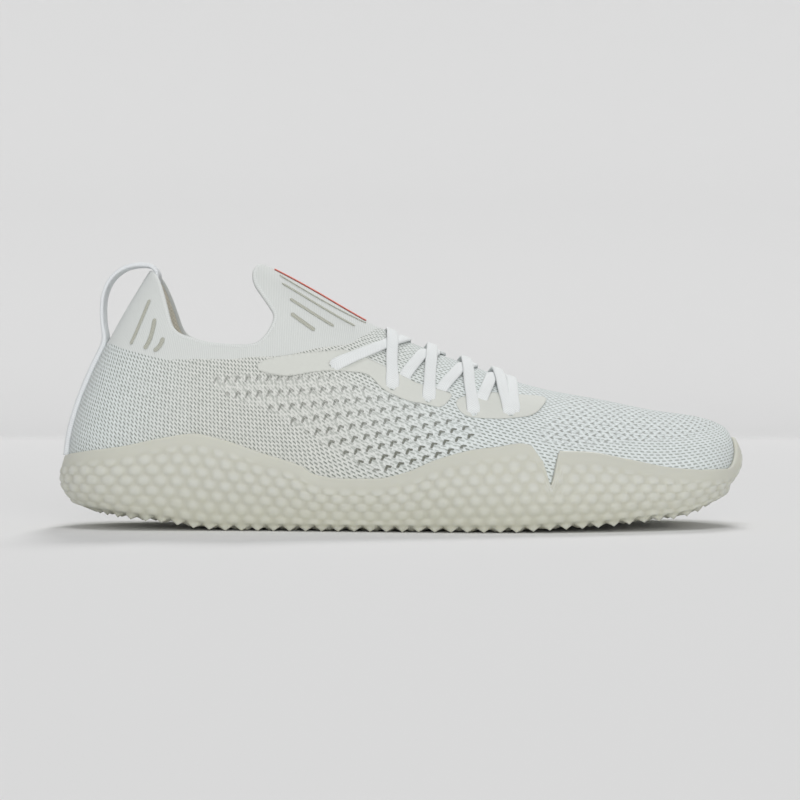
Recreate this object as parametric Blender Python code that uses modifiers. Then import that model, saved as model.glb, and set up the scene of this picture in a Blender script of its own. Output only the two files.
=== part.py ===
"""A knitted barefoot shoe for the right foot: metres, +Z up, heel at -X, toe at +X, outer side at -Y."""

import math

import bmesh
import bpy
import numpy as np
from mathutils import Vector
from mathutils.geometry import delaunay_2d_cdt

MM = 0.001

# Driving sizes of the last.
LENGTH = 290 * MM
BALL_WIDTH = 98 * MM
INSTEP_HEIGHT = 110.5 * MM
HEEL_TAB_HEIGHT = 110.5 * MM

# Walls, gaps and layers.
KNIT_WALL = 2.0 * MM
GAP = 0.3 * MM
CUP_GAP = 0.45 * MM
CUP_GAP_AT_NOTCH = 1.15 * MM
FILM_THICKNESS = 0.7 * MM
LACE_WIDTH = 4.9 * MM
LACE_THICKNESS = 2.2 * MM
INSOLE_THICKNESS = 3.0 * MM
WEBBING_WIDTH = 13.0 * MM
WEBBING_THICKNESS = 1.2 * MM

# The rubber cup.
RUBBER_PEAK = 39.3 * MM
RUBBER_WALL = 3.6 * MM
LUG_PITCH = 6.6 * MM
LUG_DEPTH = 2.3 * MM
SIDE_BUMP = 1.1 * MM
TREAD_PITCH_X = 9.6 * MM
TREAD_PITCH_Y = 9.6 * MM
ARCH_LIFT = 2.2 * MM
FLAT_SPOT_RADIUS = 9.0 * MM
FLAT_SPOTS = ((0.214, -0.01), (0.586, -0.04))

# Shares along the upper's own mesh.
UPPER_STATIONS = 64
UPPER_ROWS = 12
END_CROWDING = 0.45
CUP_STATIONS = 192
CUP_ROWS = 6
CUP_LINING_ROWS = 5

# The last, heel to toe. Columns ending in x, at: shares of LENGTH; side and out columns: of
# BALL_WIDTH; up, down and z columns: of INSTEP_HEIGHT. Each section is one cubic from the feather
# edge to the ridge, with "low" the handle on the feather edge and "high" the handle on the ridge.
FORM_COLUMNS = (
    "feather_at", "outer_side", "inner_side", "feather_z",
    "low_x", "low_out", "low_up",
    "high_x", "high_out", "high_down",
    "top_at", "top_side", "top_z",
)
FORM_ROWS = (
    (0.0259, 0.000, 0.000, 0.1090, -0.0397, 0.000, 0.221, -0.1121, 0.000, 0.471, 0.1655, 0.000, 1.122),
    (0.0517, -0.214, 0.214, 0.0980, -0.0293, 0.041, 0.238, -0.0897, 0.153, 0.335, 0.1724, 0.000, 1.122),
    (0.1103, -0.306, 0.301, 0.0780, -0.0138, 0.041, 0.266, -0.0448, 0.235, 0.181, 0.1931, 0.000, 1.118),
    (0.2000, -0.337, 0.321, 0.0620, 0.0000, 0.036, 0.299, -0.0103, 0.276, 0.072, 0.2310, 0.000, 1.081),
    (0.3034, -0.362, 0.311, 0.0597, 0.0000, 0.036, 0.317, 0.0069, 0.265, 0.027, 0.2966, 0.000, 1.005),
    (0.4069, -0.408, 0.316, 0.0597, 0.0000, 0.041, 0.290, 0.0000, 0.255, 0.018, 0.3793, 0.000, 0.890),
    (0.5103, -0.459, 0.367, 0.0597, 0.0000, 0.041, 0.244, 0.0000, 0.255, 0.014, 0.4793, 0.000, 0.742),
    (0.6138, -0.500, 0.449, 0.0597, 0.0000, 0.041, 0.199, 0.0000, 0.286, 0.009, 0.5897, 0.005, 0.623),
    (0.7138, -0.485, 0.500, 0.0615, 0.0000, 0.046, 0.172, 0.0000, 0.306, 0.005, 0.7017, 0.041, 0.528),
    (0.8034, -0.413, 0.500, 0.0724, 0.0000, 0.051, 0.154, 0.0034, 0.286, 0.005, 0.7966, 0.082, 0.481),
    (0.8793, -0.316, 0.459, 0.0923, 0.0052, 0.051, 0.136, 0.0086, 0.235, 0.009, 0.8759, 0.112, 0.440),
    (0.9310, -0.204, 0.393, 0.1267, 0.0155, 0.046, 0.118, 0.0138, 0.163, 0.023, 0.9310, 0.128, 0.420),
    (0.9586, -0.066, 0.306, 0.1538, 0.0200, 0.020, 0.068, 0.0190, 0.100, 0.041, 0.9638, 0.128, 0.395),
    (0.9672, 0.128, 0.128, 0.1701, 0.0241, 0.000, 0.032, 0.0190, 0.000, 0.059, 0.9786, 0.128, 0.371),
)

# The opening seen from the side, (share of LENGTH, share of height): down the front of the heel
# tab, along the ankle, then up the back of the tongue to its rounded top.
TAB_EDGE = (
    (0.1241, 0.9770), (0.1360, 0.9650), (0.1445, 0.9375), (0.1538, 0.8805), (0.1628, 0.8072),
    (0.1693, 0.7575), (0.1800, 0.7276), (0.2017, 0.7068), (0.2290, 0.6896),
)
TONGUE_EDGE = (
    (0.2645, 0.6824), (0.2879, 0.6842), (0.3052, 0.7122), (0.3172, 0.7647),
    (0.3203, 0.8027), (0.3138, 0.8371), (0.3003, 0.8878), (0.2903, 0.9303),
    (0.2883, 0.9729), (0.2938, 0.9991), (0.3034, 1.0036),
)

# The rubber's top edge, (share of the way from heel to toe, share of RUBBER_PEAK), and the notch
# cut down into it on each side: its back corner, its tip and its front corner.
WAVE = (
    (0.000, 0.745), (0.040, 0.775), (0.084, 0.819), (0.125, 0.865), (0.171, 0.949),
    (0.216, 1.000), (0.254, 0.939), (0.306, 0.804), (0.361, 0.662), (0.375, 0.590),
    (0.415, 0.542), (0.455, 0.542), (0.491, 0.595), (0.538, 0.738), (0.589, 0.842),
    (0.619, 0.870), (0.647, 0.903), (0.671, 0.860), (0.700, 0.822), (0.727, 0.817),
    (0.785, 0.733), (0.846, 0.639), (0.890, 0.616), (0.935, 0.616), (0.953, 0.650),
    (0.967, 0.740), (0.980, 0.870), (0.990, 0.930), (1.000, 0.943),
)
NOTCH_BACK = (0.6794, 0.718)
NOTCH_TIP = (0.6873, 0.445)
NOTCH_FRONT = (0.7000, 0.820)
NOTCH_REACH = 1 / 3

# How far the rubber stands off the last, (share of its height, share of RUBBER_WALL).
WALL_PROFILE = (
    (0.0, 0.30), (0.167, 0.92), (0.333, 1.00), (0.5, 1.00), (0.667, 0.94), (0.833, 0.74), (1.0, 0.46),
)

# How far the wall tucks under at its foot, (share from heel to toe, share of LENGTH), and how much
# of that tuck is left at each height of the wall.
TUCK_ALONG = ((0.0, 0.034), (0.07, 0.026), (0.16, 0.004), (0.30, 0.0), (0.85, 0.0), (0.94, 0.018), (1.0, 0.030))
TUCK_LEFT = ((0.0, 1.0), (0.167, 0.16), (0.333, -0.02), (0.5, -0.08), (0.667, -0.05), (1.0, 0.0))

# Height of the lugs' tips, (share of LENGTH, share of INSTEP_HEIGHT): heel rise, flat, toe spring.
TREAD_LINE = (
    (0.00, 0.075), (0.055, 0.045), (0.08, 0.032), (0.14, 0.012), (0.185, 0.0), (0.64, 0.0),
    (0.717, 0.010), (0.776, 0.016), (0.835, 0.030), (0.88, 0.040), (0.91, 0.055), (0.93, 0.077),
    (0.95, 0.102), (0.975, 0.140), (1.0, 0.190),
)
ARCH_FROM = 0.24
ARCH_TO = 0.56

# Eyelets, outer side first, and lace crossings on the ridge, as shares of LENGTH and height.
EYELETS = ((0.4003, 0.611), (0.4852, 0.526), (0.5359, 0.481), (0.6003, 0.4335), (0.6517, 0.430))
CROSSINGS = (0.4855, 0.5390, 0.5880, 0.6340)
BAR_CROSSING = 0.6640

# Outlines of the smooth films at the eyelets, as shares of LENGTH and height, seen from the side.
FILM_REAR = (
    (0.2962, 0.593), (0.3059, 0.630), (0.3500, 0.652), (0.3959, 0.663), (0.4228, 0.664), (0.4700, 0.612),
    (0.5193, 0.545), (0.5645, 0.508), (0.5686, 0.492), (0.5541, 0.456), (0.5303, 0.467), (0.5048, 0.481),
    (0.4741, 0.519), (0.4514, 0.574), (0.4260, 0.586), (0.4007, 0.589), (0.3779, 0.586), (0.3345, 0.570),
)
FILM_FRONT = (
    (0.5755, 0.474), (0.5890, 0.423), (0.6286, 0.412), (0.6583, 0.415), (0.6831, 0.425), (0.6986, 0.455),
    (0.7048, 0.489), (0.6710, 0.500), (0.6245, 0.508), (0.5950, 0.500),
)
FILM_STATIONS = (0.27, 0.72)
FILM_ROWS_FROM = 4

# The webbing's free loop behind the tab, (share of LENGTH, share of HEEL_TAB_HEIGHT).
LOOP_LINE = (
    (0.0698, 0.724), (0.0679, 0.778), (0.0672, 0.833), (0.0697, 0.887), (0.0786, 0.937), (0.0938, 0.972),
    (0.1090, 0.986), (0.1240, 0.989), (0.1345, 0.985), (0.1400, 0.972), (0.1405, 0.955),
)
WEBBING_LEAVES_HEEL = 0.690
TAB_WEBBING_RUN = 9.0 * MM
WEBBING_COLUMNS = 3


def smooth_table(rows):
    """A curve through short rows of (place, value) that never overshoots between two rows."""
    place = np.array([row[0] for row in rows])
    value = np.array([row[1] for row in rows])
    step = np.diff(place)
    rise = np.diff(value) / step
    slope = np.zeros(len(rows))
    slope[0], slope[-1] = rise[0], rise[-1]
    for k in range(1, len(rows) - 1):
        if rise[k - 1] * rise[k] > 0:
            before, after = 2 * step[k] + step[k - 1], step[k] + 2 * step[k - 1]
            slope[k] = (before + after) / (before / rise[k - 1] + after / rise[k])

    def at(where):
        where = min(max(where, place[0]), place[-1])
        k = min(int(np.searchsorted(place, where, side="right")) - 1, len(rows) - 2)
        u = (where - place[k]) / step[k]
        return float(
            value[k] * (1 + 2 * u) * (1 - u) ** 2
            + value[k + 1] * (3 - 2 * u) * u * u
            + step[k] * u * (1 - u) * (slope[k] * (1 - u) - slope[k + 1] * u)
        )

    return at


def ring_spline(knots, period, values):
    """A cubic through values at knots around a closed ring, with no corner anywhere."""
    count = len(knots)
    knots = np.asarray(knots)
    values = np.asarray(values)
    span = np.append(np.diff(knots), period - knots[-1] + knots[0])
    matrix = np.zeros((count, count))
    right = np.zeros_like(values)
    for i in range(count):
        nxt = (i + 1) % count
        matrix[i, i - 1] += span[i - 1]
        matrix[i, i] += 2 * (span[i - 1] + span[i])
        matrix[i, nxt] += span[i]
        right[i] = 6 * ((values[nxt] - values[i]) / span[i] - (values[i] - values[i - 1]) / span[i - 1])
    bend = np.linalg.solve(matrix, right)

    def at(w):
        w = (w - knots[0]) % period + knots[0]
        i = int(np.searchsorted(knots, w, side="right")) - 1
        nxt = (i + 1) % count
        u = w - knots[i]
        v = span[i] - u
        return (
            (bend[i] * v**3 + bend[nxt] * u**3) / (6 * span[i])
            + (values[i] / span[i] - bend[i] * span[i] / 6) * v
            + (values[nxt] / span[i] - bend[nxt] * span[i] / 6) * u
        )

    return at


def form_controls(row, outer):
    """The four control points of one section of the last, in metres."""
    away = -1 if outer else 1
    scale = np.array([LENGTH, BALL_WIDTH, INSTEP_HEIGHT])
    side = row["outer_side"] if outer else row["inner_side"]
    feather = np.array([row["feather_at"], side, row["feather_z"]]) * scale
    top = np.array([row["top_at"], row["top_side"], row["top_z"]]) * scale
    low = feather + np.array([row["low_x"], away * row["low_out"], row["low_up"]]) * scale
    high = top + np.array([row["high_x"], away * row["high_out"], -row["high_down"]]) * scale
    return np.concatenate([feather, low, high, top])


def make_form():
    """The last as a ring of sections: 0 is the back of the heel, HALF the toe, then back again."""
    rows = [dict(zip(FORM_COLUMNS, row)) for row in FORM_ROWS]
    outer = [form_controls(row, True) for row in rows]
    inner = [form_controls(row, False) for row in rows]
    along = [0.0]
    for k in range(1, len(rows)):
        steps = [np.linalg.norm((side[k] - side[k - 1])[:2]) for side in (outer, inner)]
        along.append(along[-1] + sum(steps) / 2)
    half = along[-1]
    knots = along + [2 * half - a for a in reversed(along[1:-1])]
    return half, ring_spline(knots, 2 * half, outer + list(reversed(inner[1:-1])))


HALF, SECTION = make_form()
WAVE_AT = smooth_table(WAVE)
WALL_AT = smooth_table(WALL_PROFILE)
TUCK_AT = smooth_table(TUCK_ALONG)
TUCK_SHARE = smooth_table(TUCK_LEFT)
TREAD_AT = smooth_table(TREAD_LINE)


def on_form(w, t):
    """The last's surface at w round the shoe and t from the feather edge (0) to the ridge (1)."""
    feather, low, high, top = SECTION(w).reshape(4, 3)
    u = 1 - t
    return u**3 * feather + 3 * u * u * t * low + 3 * u * t * t * high + t**3 * top


def form_normal(w, t):
    """The outward direction of the last's surface."""
    small = 0.2 * MM
    t = min(max(t, 0.002), 0.998)
    along = on_form(w + small, t) - on_form(w - small, t)
    up = on_form(w, t + 0.002) - on_form(w, t - 0.002)
    out = np.cross(along, up)
    return out / np.linalg.norm(out)


def off_form(w, t, distance):
    return on_form(w, t) + form_normal(w, t) * distance


def other_side(w):
    return 2 * HALF - w


def half_share(w):
    """How far from heel (0) to toe (1) a place w on either side is."""
    w = w % (2 * HALF)
    return min(w, 2 * HALF - w) / HALF


def share_at_height(w, z):
    """The section share t at which the last reaches height z."""
    low, high = 0.0, 1.0
    for _ in range(30):
        middle = (low + high) / 2
        if on_form(w, middle)[2] < z:
            low = middle
        else:
            high = middle
    return (low + high) / 2


def seen_from_side(x, z):
    """The place (w, t) on the outer side whose view from the side is at x, z."""
    low, high = 0.0, HALF
    for _ in range(30):
        middle = (low + high) / 2
        if on_form(middle, share_at_height(middle, z))[0] < x:
            low = middle
        else:
            high = middle
    w = (low + high) / 2
    return w, share_at_height(w, z)


def ridge_place(x):
    """The w at which the ridge passes x."""
    low, high = 0.0, HALF
    for _ in range(40):
        middle = (low + high) / 2
        if on_form(middle, 1.0)[0] < x:
            low = middle
        else:
            high = middle
    return (low + high) / 2


def wave_height(w, notched=True):
    """Height of the rubber's top edge, with or without the notch cut into it."""
    share = half_share(w)
    height = WAVE_AT(share)
    if notched:
        for at, value in (NOTCH_BACK, NOTCH_TIP, NOTCH_FRONT):
            if abs(share - at) < 1e-6:
                height = value
    return height * RUBBER_PEAK


def tread_height(x, y):
    """Height of the lugs' tips, lifted a little under the arch on the inner side."""
    share = x / LENGTH
    height = TREAD_AT(share) * INSTEP_HEIGHT
    if ARCH_FROM < share < ARCH_TO and y > 0:
        along = math.sin(math.pi * (share - ARCH_FROM) / (ARCH_TO - ARCH_FROM))
        height += ARCH_LIFT * along**2 * min(1.0, y / (0.3 * BALL_WIDTH))
    return height


def new_collection(name):
    collection = bpy.data.collections.new(name)
    bpy.context.scene.collection.children.link(collection)
    return collection


def add_mesh(name, points, faces, collection):
    mesh = bpy.data.meshes.new(name)
    mesh.from_pydata([tuple(map(float, point)) for point in points], [], faces)
    work = bmesh.new()
    work.from_mesh(mesh)
    bmesh.ops.remove_doubles(work, verts=work.verts, dist=0.02 * MM)
    bmesh.ops.dissolve_degenerate(work, edges=work.edges, dist=0.001 * MM)
    bmesh.ops.recalc_face_normals(work, faces=work.faces)
    work.to_mesh(mesh)
    work.free()
    piece = bpy.data.objects.new(name, mesh)
    collection.objects.link(piece)
    return piece


def bake(piece):
    """Replaces a piece's mesh with what its modifiers make of it."""
    depsgraph = bpy.context.evaluated_depsgraph_get()
    mesh = bpy.data.meshes.new_from_object(piece.evaluated_get(depsgraph))
    piece.modifiers.clear()
    piece.data = mesh


def combine(piece, other, operation):
    modifier = piece.modifiers.new(operation.title(), "BOOLEAN")
    modifier.operation = operation
    modifier.solver = "EXACT"
    modifier.object = other
    bake(piece)


def thicken(piece, thickness, outward):
    modifier = piece.modifiers.new("Wall", "SOLIDIFY")
    modifier.thickness = thickness
    modifier.offset = 1.0 if outward else -1.0
    modifier.use_even_offset = True
    bake(piece)


def finish(piece, material, smooth=True):
    """Cleans the mesh, makes it face outward and gives it its material."""
    work = bmesh.new()
    work.from_mesh(piece.data)
    bmesh.ops.remove_doubles(work, verts=work.verts, dist=0.01 * MM)
    bmesh.ops.dissolve_degenerate(work, edges=work.edges, dist=0.005 * MM)
    bmesh.ops.triangulate(work, faces=work.faces)
    bmesh.ops.recalc_face_normals(work, faces=work.faces)
    for face in work.faces:
        face.smooth = smooth
    work.to_mesh(piece.data)
    work.free()
    piece.data.materials.clear()
    piece.data.materials.append(material)


def grid_faces(rows, columns, closed):
    """Quads between rows of points; a closed grid joins its last column to its first."""
    faces = []
    for j in range(rows - 1):
        for i in range(columns if closed else columns - 1):
            k = (i + 1) % columns
            faces.append((j * columns + i, j * columns + k, (j + 1) * columns + k, (j + 1) * columns + i))
    return faces


def prism(name, outline, y_from, y_to, collection):
    """A cutter: an outline seen from the side, run across the shoe."""
    points = [(x, y, z) for y in (y_from, y_to) for x, z in outline]
    count = len(outline)
    faces = [tuple(range(count)), tuple(range(2 * count - 1, count - 1, -1))]
    for i in range(count):
        k = (i + 1) % count
        faces.append((i, k, count + k, count + i))
    piece = add_mesh(name, points, faces, collection)
    piece.hide_render = True
    piece.display_type = "WIRE"
    return piece


def smooth_outline(points, parts):
    """Rounds an outline with a curve through its points."""
    count = len(points)
    out = []
    for i in range(count):
        a, b, c, d = (np.array(points[(i + k) % count]) for k in (-1, 0, 1, 2))
        for j in range(parts):
            u = j / parts
            out.append(
                tuple(
                    0.5 * (2 * b + (c - a) * u + (2 * a - 5 * b + 4 * c - d) * u * u
                           + (3 * b - a - 3 * c + d) * u**3)
                )
            )
    return out


def open_curve(points, parts):
    """A curve through an open run of points."""
    ghost = [tuple(2 * np.array(points[0]) - np.array(points[1]))]
    tail = [tuple(2 * np.array(points[-1]) - np.array(points[-2]))]
    run = smooth_outline(ghost + list(points) + tail, parts)
    return run[parts:-2 * parts + 1]


def upper_stations():
    """Places round the shoe, closer together at heel and toe where it turns."""
    out = []
    for i in range(UPPER_STATIONS):
        share = 2 * i / UPPER_STATIONS
        out.append(HALF * (share - END_CROWDING * math.sin(2 * math.pi * share) / (2 * math.pi)))
    return out


def build_upper(parts, cutters, material):
    """The knitted sock: the last's surface, a wall inward, and the opening cut through it."""
    stations = upper_stations()
    points = [on_form(w, j / UPPER_ROWS) for j in range(UPPER_ROWS + 1) for w in stations]
    piece = add_mesh("upper", points, grid_faces(UPPER_ROWS + 1, UPPER_STATIONS, True), parts)
    thicken(piece, KNIT_WALL, False)
    tab = [(x * LENGTH, z * HEEL_TAB_HEIGHT) for x, z in TAB_EDGE]
    tongue = [(x * LENGTH, z * INSTEP_HEIGHT) for x, z in TONGUE_EDGE]
    edge = open_curve(tab + tongue, 2)
    above = 1.4 * INSTEP_HEIGHT
    outline = [(0.0, above), (0.0, tab[0][1])] + edge + [(tongue[-1][0], above)]
    cutter = prism("opening_cutter", outline, -BALL_WIDTH, BALL_WIDTH, cutters)
    combine(piece, cutter, "DIFFERENCE")
    finish(piece, material)


def cup_gap(w):
    """Room between knit and rubber, a little more where the wall is cut down to the notch."""
    near = max(0.0, 1 - abs(half_share(w) - NOTCH_TIP[0]) / 0.05)
    return CUP_GAP + (CUP_GAP_AT_NOTCH - CUP_GAP) * near


def cup_stations():
    """Places round the cup, with three moved on to each notch."""
    step = 2 * HALF / CUP_STATIONS
    stations = [i * step for i in range(CUP_STATIONS)]
    middle = 2 * round(NOTCH_TIP[0] * HALF / step / 2)
    for k, (mark, _) in zip((-1, 0, 1), (NOTCH_BACK, NOTCH_TIP, NOTCH_FRONT)):
        stations[middle + k] = mark * HALF
        stations[CUP_STATIONS - middle - k] = other_side(mark * HALF)
    return stations


def plan_out(w, t):
    """The level outward direction of the last."""
    out = form_normal(w, t)
    out[2] = 0.0
    return out / np.linalg.norm(out)


def cup_point(w, v, tip):
    """The cup's outside at w round the shoe and v up its wall; tip is 1 on a bump and 0 between."""
    feather = on_form(w, 0.0)
    tuck = TUCK_AT(half_share(w)) * LENGTH
    out = plan_out(w, 0.15)
    foot = feather + out * (WALL_AT(0.0) * RUBBER_WALL - tuck)
    low = tread_height(foot[0], foot[1])
    full = wave_height(w, False) - low
    knee = min(v, NOTCH_REACH)
    z = low + full * knee + (wave_height(w) - low - full * NOTCH_REACH) * (v - knee) / (1 - NOTCH_REACH)
    v_full = (z - low) / full
    t = share_at_height(w, max(z, feather[2]))
    point = on_form(w, t)
    level = plan_out(w, max(t, 0.02))
    fade = math.sin(math.pi * min(1.0, (1 - v) / 0.6) / 2) if v < 0.7 else 0.0
    stand_off = WALL_AT(v_full) * RUBBER_WALL - tuck * TUCK_SHARE(v_full)
    point = point + level * (stand_off + SIDE_BUMP * fade * (tip - 0.5))
    point[2] = z
    if v == 0.0:
        point[2] = low + LUG_DEPTH * (1 - tip)
    return point


def inside_outline(outline, x, y):
    """Whether x, y is inside a closed outline seen from above."""
    inside = False
    for i in range(len(outline)):
        a, b = outline[i - 1], outline[i]
        if (a[1] > y) != (b[1] > y) and x < (b[0] - a[0]) * (y - a[1]) / (b[1] - a[1]) + a[0]:
            inside = not inside
    return inside


def tread_lattice(outline):
    """Lug tips and the hollows between them under the shoe, inside the outline of the cup's foot."""

    def clear(x, y):
        nearest = LENGTH
        for i in range(len(outline)):
            along = outline[i] - outline[i - 1]
            u = min(1.0, max(0.0, float(np.dot((x, y) - outline[i - 1], along) / np.dot(along, along))))
            nearest = min(nearest, float(np.linalg.norm(outline[i - 1] + along * u - (x, y))))
        return nearest > 0.3 * LUG_PITCH and inside_outline(outline, x, y)

    points = {}
    for i in range(int(LENGTH / TREAD_PITCH_X * 2) + 1):
        for j in range(-14, 15):
            x = i * TREAD_PITCH_X / 2
            y = j * TREAD_PITCH_Y / 2
            if clear(x, y):
                tip = (i + j) % 2 == 0
                spots = [(sx * LENGTH, sy * LENGTH) for sx, sy in FLAT_SPOTS]
                flat = any(math.hypot(x - sx, y - sy) < FLAT_SPOT_RADIUS for sx, sy in spots)
                depth = 0.0 if tip or flat else LUG_DEPTH
                points[(i, j)] = (x, y, tread_height(x, y) + depth)
    return points


def build_outsole(parts, material):
    """The rubber cup: wavy wall, bumps in staggered rows, lugs below, and a smooth inside."""
    stations = cup_stations()
    count = len(stations)
    points = []
    for j in range(CUP_ROWS + 1):
        for i, w in enumerate(stations):
            points.append(cup_point(w, j / CUP_ROWS, (i + j + 1) % 2))
    faces = []
    for j in range(CUP_ROWS):
        for i in range(count):
            k = (i + 1) % count
            a, b, c, d = j * count + i, j * count + k, (j + 1) * count + k, (j + 1) * count + i
            if (i + j) % 2 == 0:
                faces += [(a, b, d), (b, c, d)]
            else:
                faces += [(a, b, c), (a, c, d)]

    # Inside: the lip, then every second station down to the corner of the floor.
    lip = len(points)
    tops = [share_at_height(w, wave_height(w)) for w in stations]
    points += [off_form(w, t, cup_gap(w)) for w, t in zip(stations, tops)]
    for i in range(count):
        k = (i + 1) % count
        faces.append((CUP_ROWS * count + i, CUP_ROWS * count + k, lip + k, lip + i))
    lining = len(points)
    half_count = count // 2
    for j in range(1, CUP_LINING_ROWS + 1):
        for i in range(0, count, 2):
            w = stations[i]
            point = off_form(w, tops[i] * (1 - j / CUP_LINING_ROWS), cup_gap(w))
            if j == CUP_LINING_ROWS:
                point[2] = on_form(w, 0.0)[2] - GAP
            points.append(point)
    for i in range(half_count):
        a, b, c = lip + 2 * i, lip + (2 * i + 1) % count, lip + (2 * i + 2) % count
        d, e = lining + i, lining + (i + 1) % half_count
        faces += [(a, b, d), (b, e, d), (b, c, e)]
        for j in range(CUP_LINING_ROWS - 1):
            row, below = lining + j * half_count, lining + (j + 1) * half_count
            k = (i + 1) % half_count
            faces.append((row + i, row + k, below + k, below + i))

    # Floor: strips across from one side to the other.
    floor = lining + (CUP_LINING_ROWS - 1) * half_count
    for i in range(half_count // 2):
        a, b = floor + i, floor + i + 1
        c, d = floor + (half_count - i - 1) % half_count, floor + (half_count - i) % half_count
        faces.append((a, b, c, d) if len({a, b, c, d}) == 4 else tuple(dict.fromkeys((a, b, c, d))))

    # Underside: the ring of the wall's foot filled with lugs.
    ring = points[:count]
    outline = np.array([point[:2] for point in ring])
    lattice = tread_lattice(outline)
    order = list(lattice)
    flat = [Vector(point[:2]) for point in ring] + [Vector(lattice[key][:2]) for key in order]
    index = {key: count + n for n, key in enumerate(order)}
    edges = [(i, (i + 1) % count) for i in range(count)]
    for i, j in order:
        if (i + j) % 2:
            for di, dj in ((1, 1), (1, -1)):
                if (i + di, j + dj) in index:
                    edges.append((index[(i, j)], index[(i + di, j + dj)]))
    made, _, triangles, sources, _, _ = delaunay_2d_cdt(flat, edges, [], 1, 1e-6, True)
    base = len(points)
    points += [lattice[key] for key in order]
    place = [s[0] if s[0] < count else base + s[0] - count for s in sources]
    for triangle in triangles:
        centre = sum((made[v] for v in triangle), Vector((0.0, 0.0))) / 3
        if inside_outline(outline, centre.x, centre.y):
            faces.append(tuple(place[v] for v in triangle))
    piece = add_mesh("outsole", points, faces, parts)
    finish(piece, material)


def build_insole(parts, material):
    """A thin bed on the cup's floor, just inside the knitted wall."""
    inset = KNIT_WALL + 2 * GAP
    stations = upper_stations()
    rims = []
    for height in (0.0, INSOLE_THICKNESS):
        ring = []
        for w in stations:
            point = on_form(w, 0.0) - plan_out(w, 0.02) * inset
            point[2] = on_form(w, 0.0)[2] + height
            ring.append(point)
        rims.append(ring)
    points = rims[0] + rims[1]
    count = len(stations)
    faces = grid_faces(2, count, True)
    for level in (0, count):
        for i in range(count // 2):
            a, b = level + i, level + i + 1
            c, d = level + count - i - 1, level + (count - i) % count
            faces.append(tuple(dict.fromkeys((a, b, c, d))))
    finish(add_mesh("insole", points, faces, parts), material)


def build_film(name, outline, inner, parts, cutters, material):
    """A thin film over the knit, cut from a layer that keeps the upper's own grid."""
    start, end = (share * HALF for share in FILM_STATIONS)
    stations = [w for w in upper_stations() if start < w < end]
    if inner:
        stations = [other_side(w) for w in reversed(stations)]
    rows = range(FILM_ROWS_FROM, UPPER_ROWS)
    points = [off_form(w, j / UPPER_ROWS, GAP) for j in rows for w in stations]
    mesh = bpy.data.meshes.new(name)
    mesh.from_pydata([tuple(map(float, p)) for p in points], [], grid_faces(len(rows), len(stations), False))
    piece = bpy.data.objects.new(name, mesh)
    parts.objects.link(piece)
    thicken(piece, FILM_THICKNESS, True)
    shape = [(x * LENGTH, z * INSTEP_HEIGHT) for x, z in outline]
    reach = (0.0, BALL_WIDTH) if inner else (-BALL_WIDTH, 0.0)
    combine(piece, prism(name + "_cutter", shape, *reach, cutters), "INTERSECT")
    finish(piece, material)


def lace_run(name, start, middle, end, lift, parts, points_each=4):
    """One flat lace over the ridge between two places (w, t), as a closed tube."""
    base = GAP + FILM_THICKNESS + 2 * GAP + LACE_THICKNESS / 2
    path = []
    for leg, (a, b) in enumerate(((start, middle[0]), (middle[1], end))):
        for i in range(points_each + 1 - leg):
            u = (i + leg) / points_each
            w, t = a[0] + (b[0] - a[0]) * u, a[1] + (b[1] - a[1]) * u
            near = u if leg == 0 else 1 - u
            path.append((w, t, base + lift * near**3))
    centres = [off_form(w, t, height) for w, t, height in path]
    ups = [form_normal(w, t) for w, t, _ in path]
    rings = []
    for k, centre in enumerate(centres):
        ahead = centres[min(k + 1, len(centres) - 1)] - centres[max(k - 1, 0)]
        across = np.cross(ahead, ups[k])
        across /= np.linalg.norm(across)
        up = np.cross(across, ahead)
        up /= np.linalg.norm(up)
        ring = []
        for a, b in ((1, 0), (0.6, 1), (-0.6, 1), (-1, 0), (-0.6, -1), (0.6, -1)):
            ring.append(centre + across * a * LACE_WIDTH / 2 + up * b * LACE_THICKNESS / 2)
        rings.append(ring)
    points = [point for ring in rings for point in ring]
    faces = grid_faces(len(rings), 6, True)
    faces += [tuple(range(6)), tuple(range(len(points) - 6, len(points)))]
    return add_mesh(name, points, faces, parts)


def build_laces(parts, material):
    """Criss-cross laces and the front bar, joined where they cross."""
    holes = [seen_from_side(x * LENGTH, z * INSTEP_HEIGHT) for x, z in EYELETS]
    runs = []
    for i, x in enumerate(CROSSINGS):
        w = ridge_place(x * LENGTH)
        outer, inner = (w, 0.985), (other_side(w), 0.985)
        low, high = holes[i], holes[i + 1]
        over = LACE_THICKNESS * 0.82
        runs.append(lace_run(f"lace_over_{i}", high, (outer, inner), (other_side(low[0]), low[1]), over, parts))
        runs.append(lace_run(f"lace_under_{i}", low, (outer, inner), (other_side(high[0]), high[1]), 0.0, parts))
    w = ridge_place(BAR_CROSSING * LENGTH)
    last = holes[-1]
    middle = ((w, 0.985), (other_side(w), 0.985))
    runs.append(lace_run("lace_bar", last, middle, (other_side(last[0]), last[1]), 0.0, parts))
    piece = runs[0]
    piece.name = "laces"
    for run in runs[1:]:
        combine(piece, run, "UNION")
        bpy.data.objects.remove(run)
    finish(piece, material)


def heel_curl(t, y):
    """How far forward the last's heel has turned at y to the side of its middle line."""
    if y == 0:
        return 0.0
    z = on_form(0.0, t)[2]
    low, high = 0.0, 0.2 * HALF
    for _ in range(30):
        middle = (low + high) / 2
        if -on_form(middle, share_at_height(middle, z))[1] < abs(y):
            low = middle
        else:
            high = middle
    return on_form(low, share_at_height(low, z))[0] - on_form(0.0, t)[0]


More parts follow.
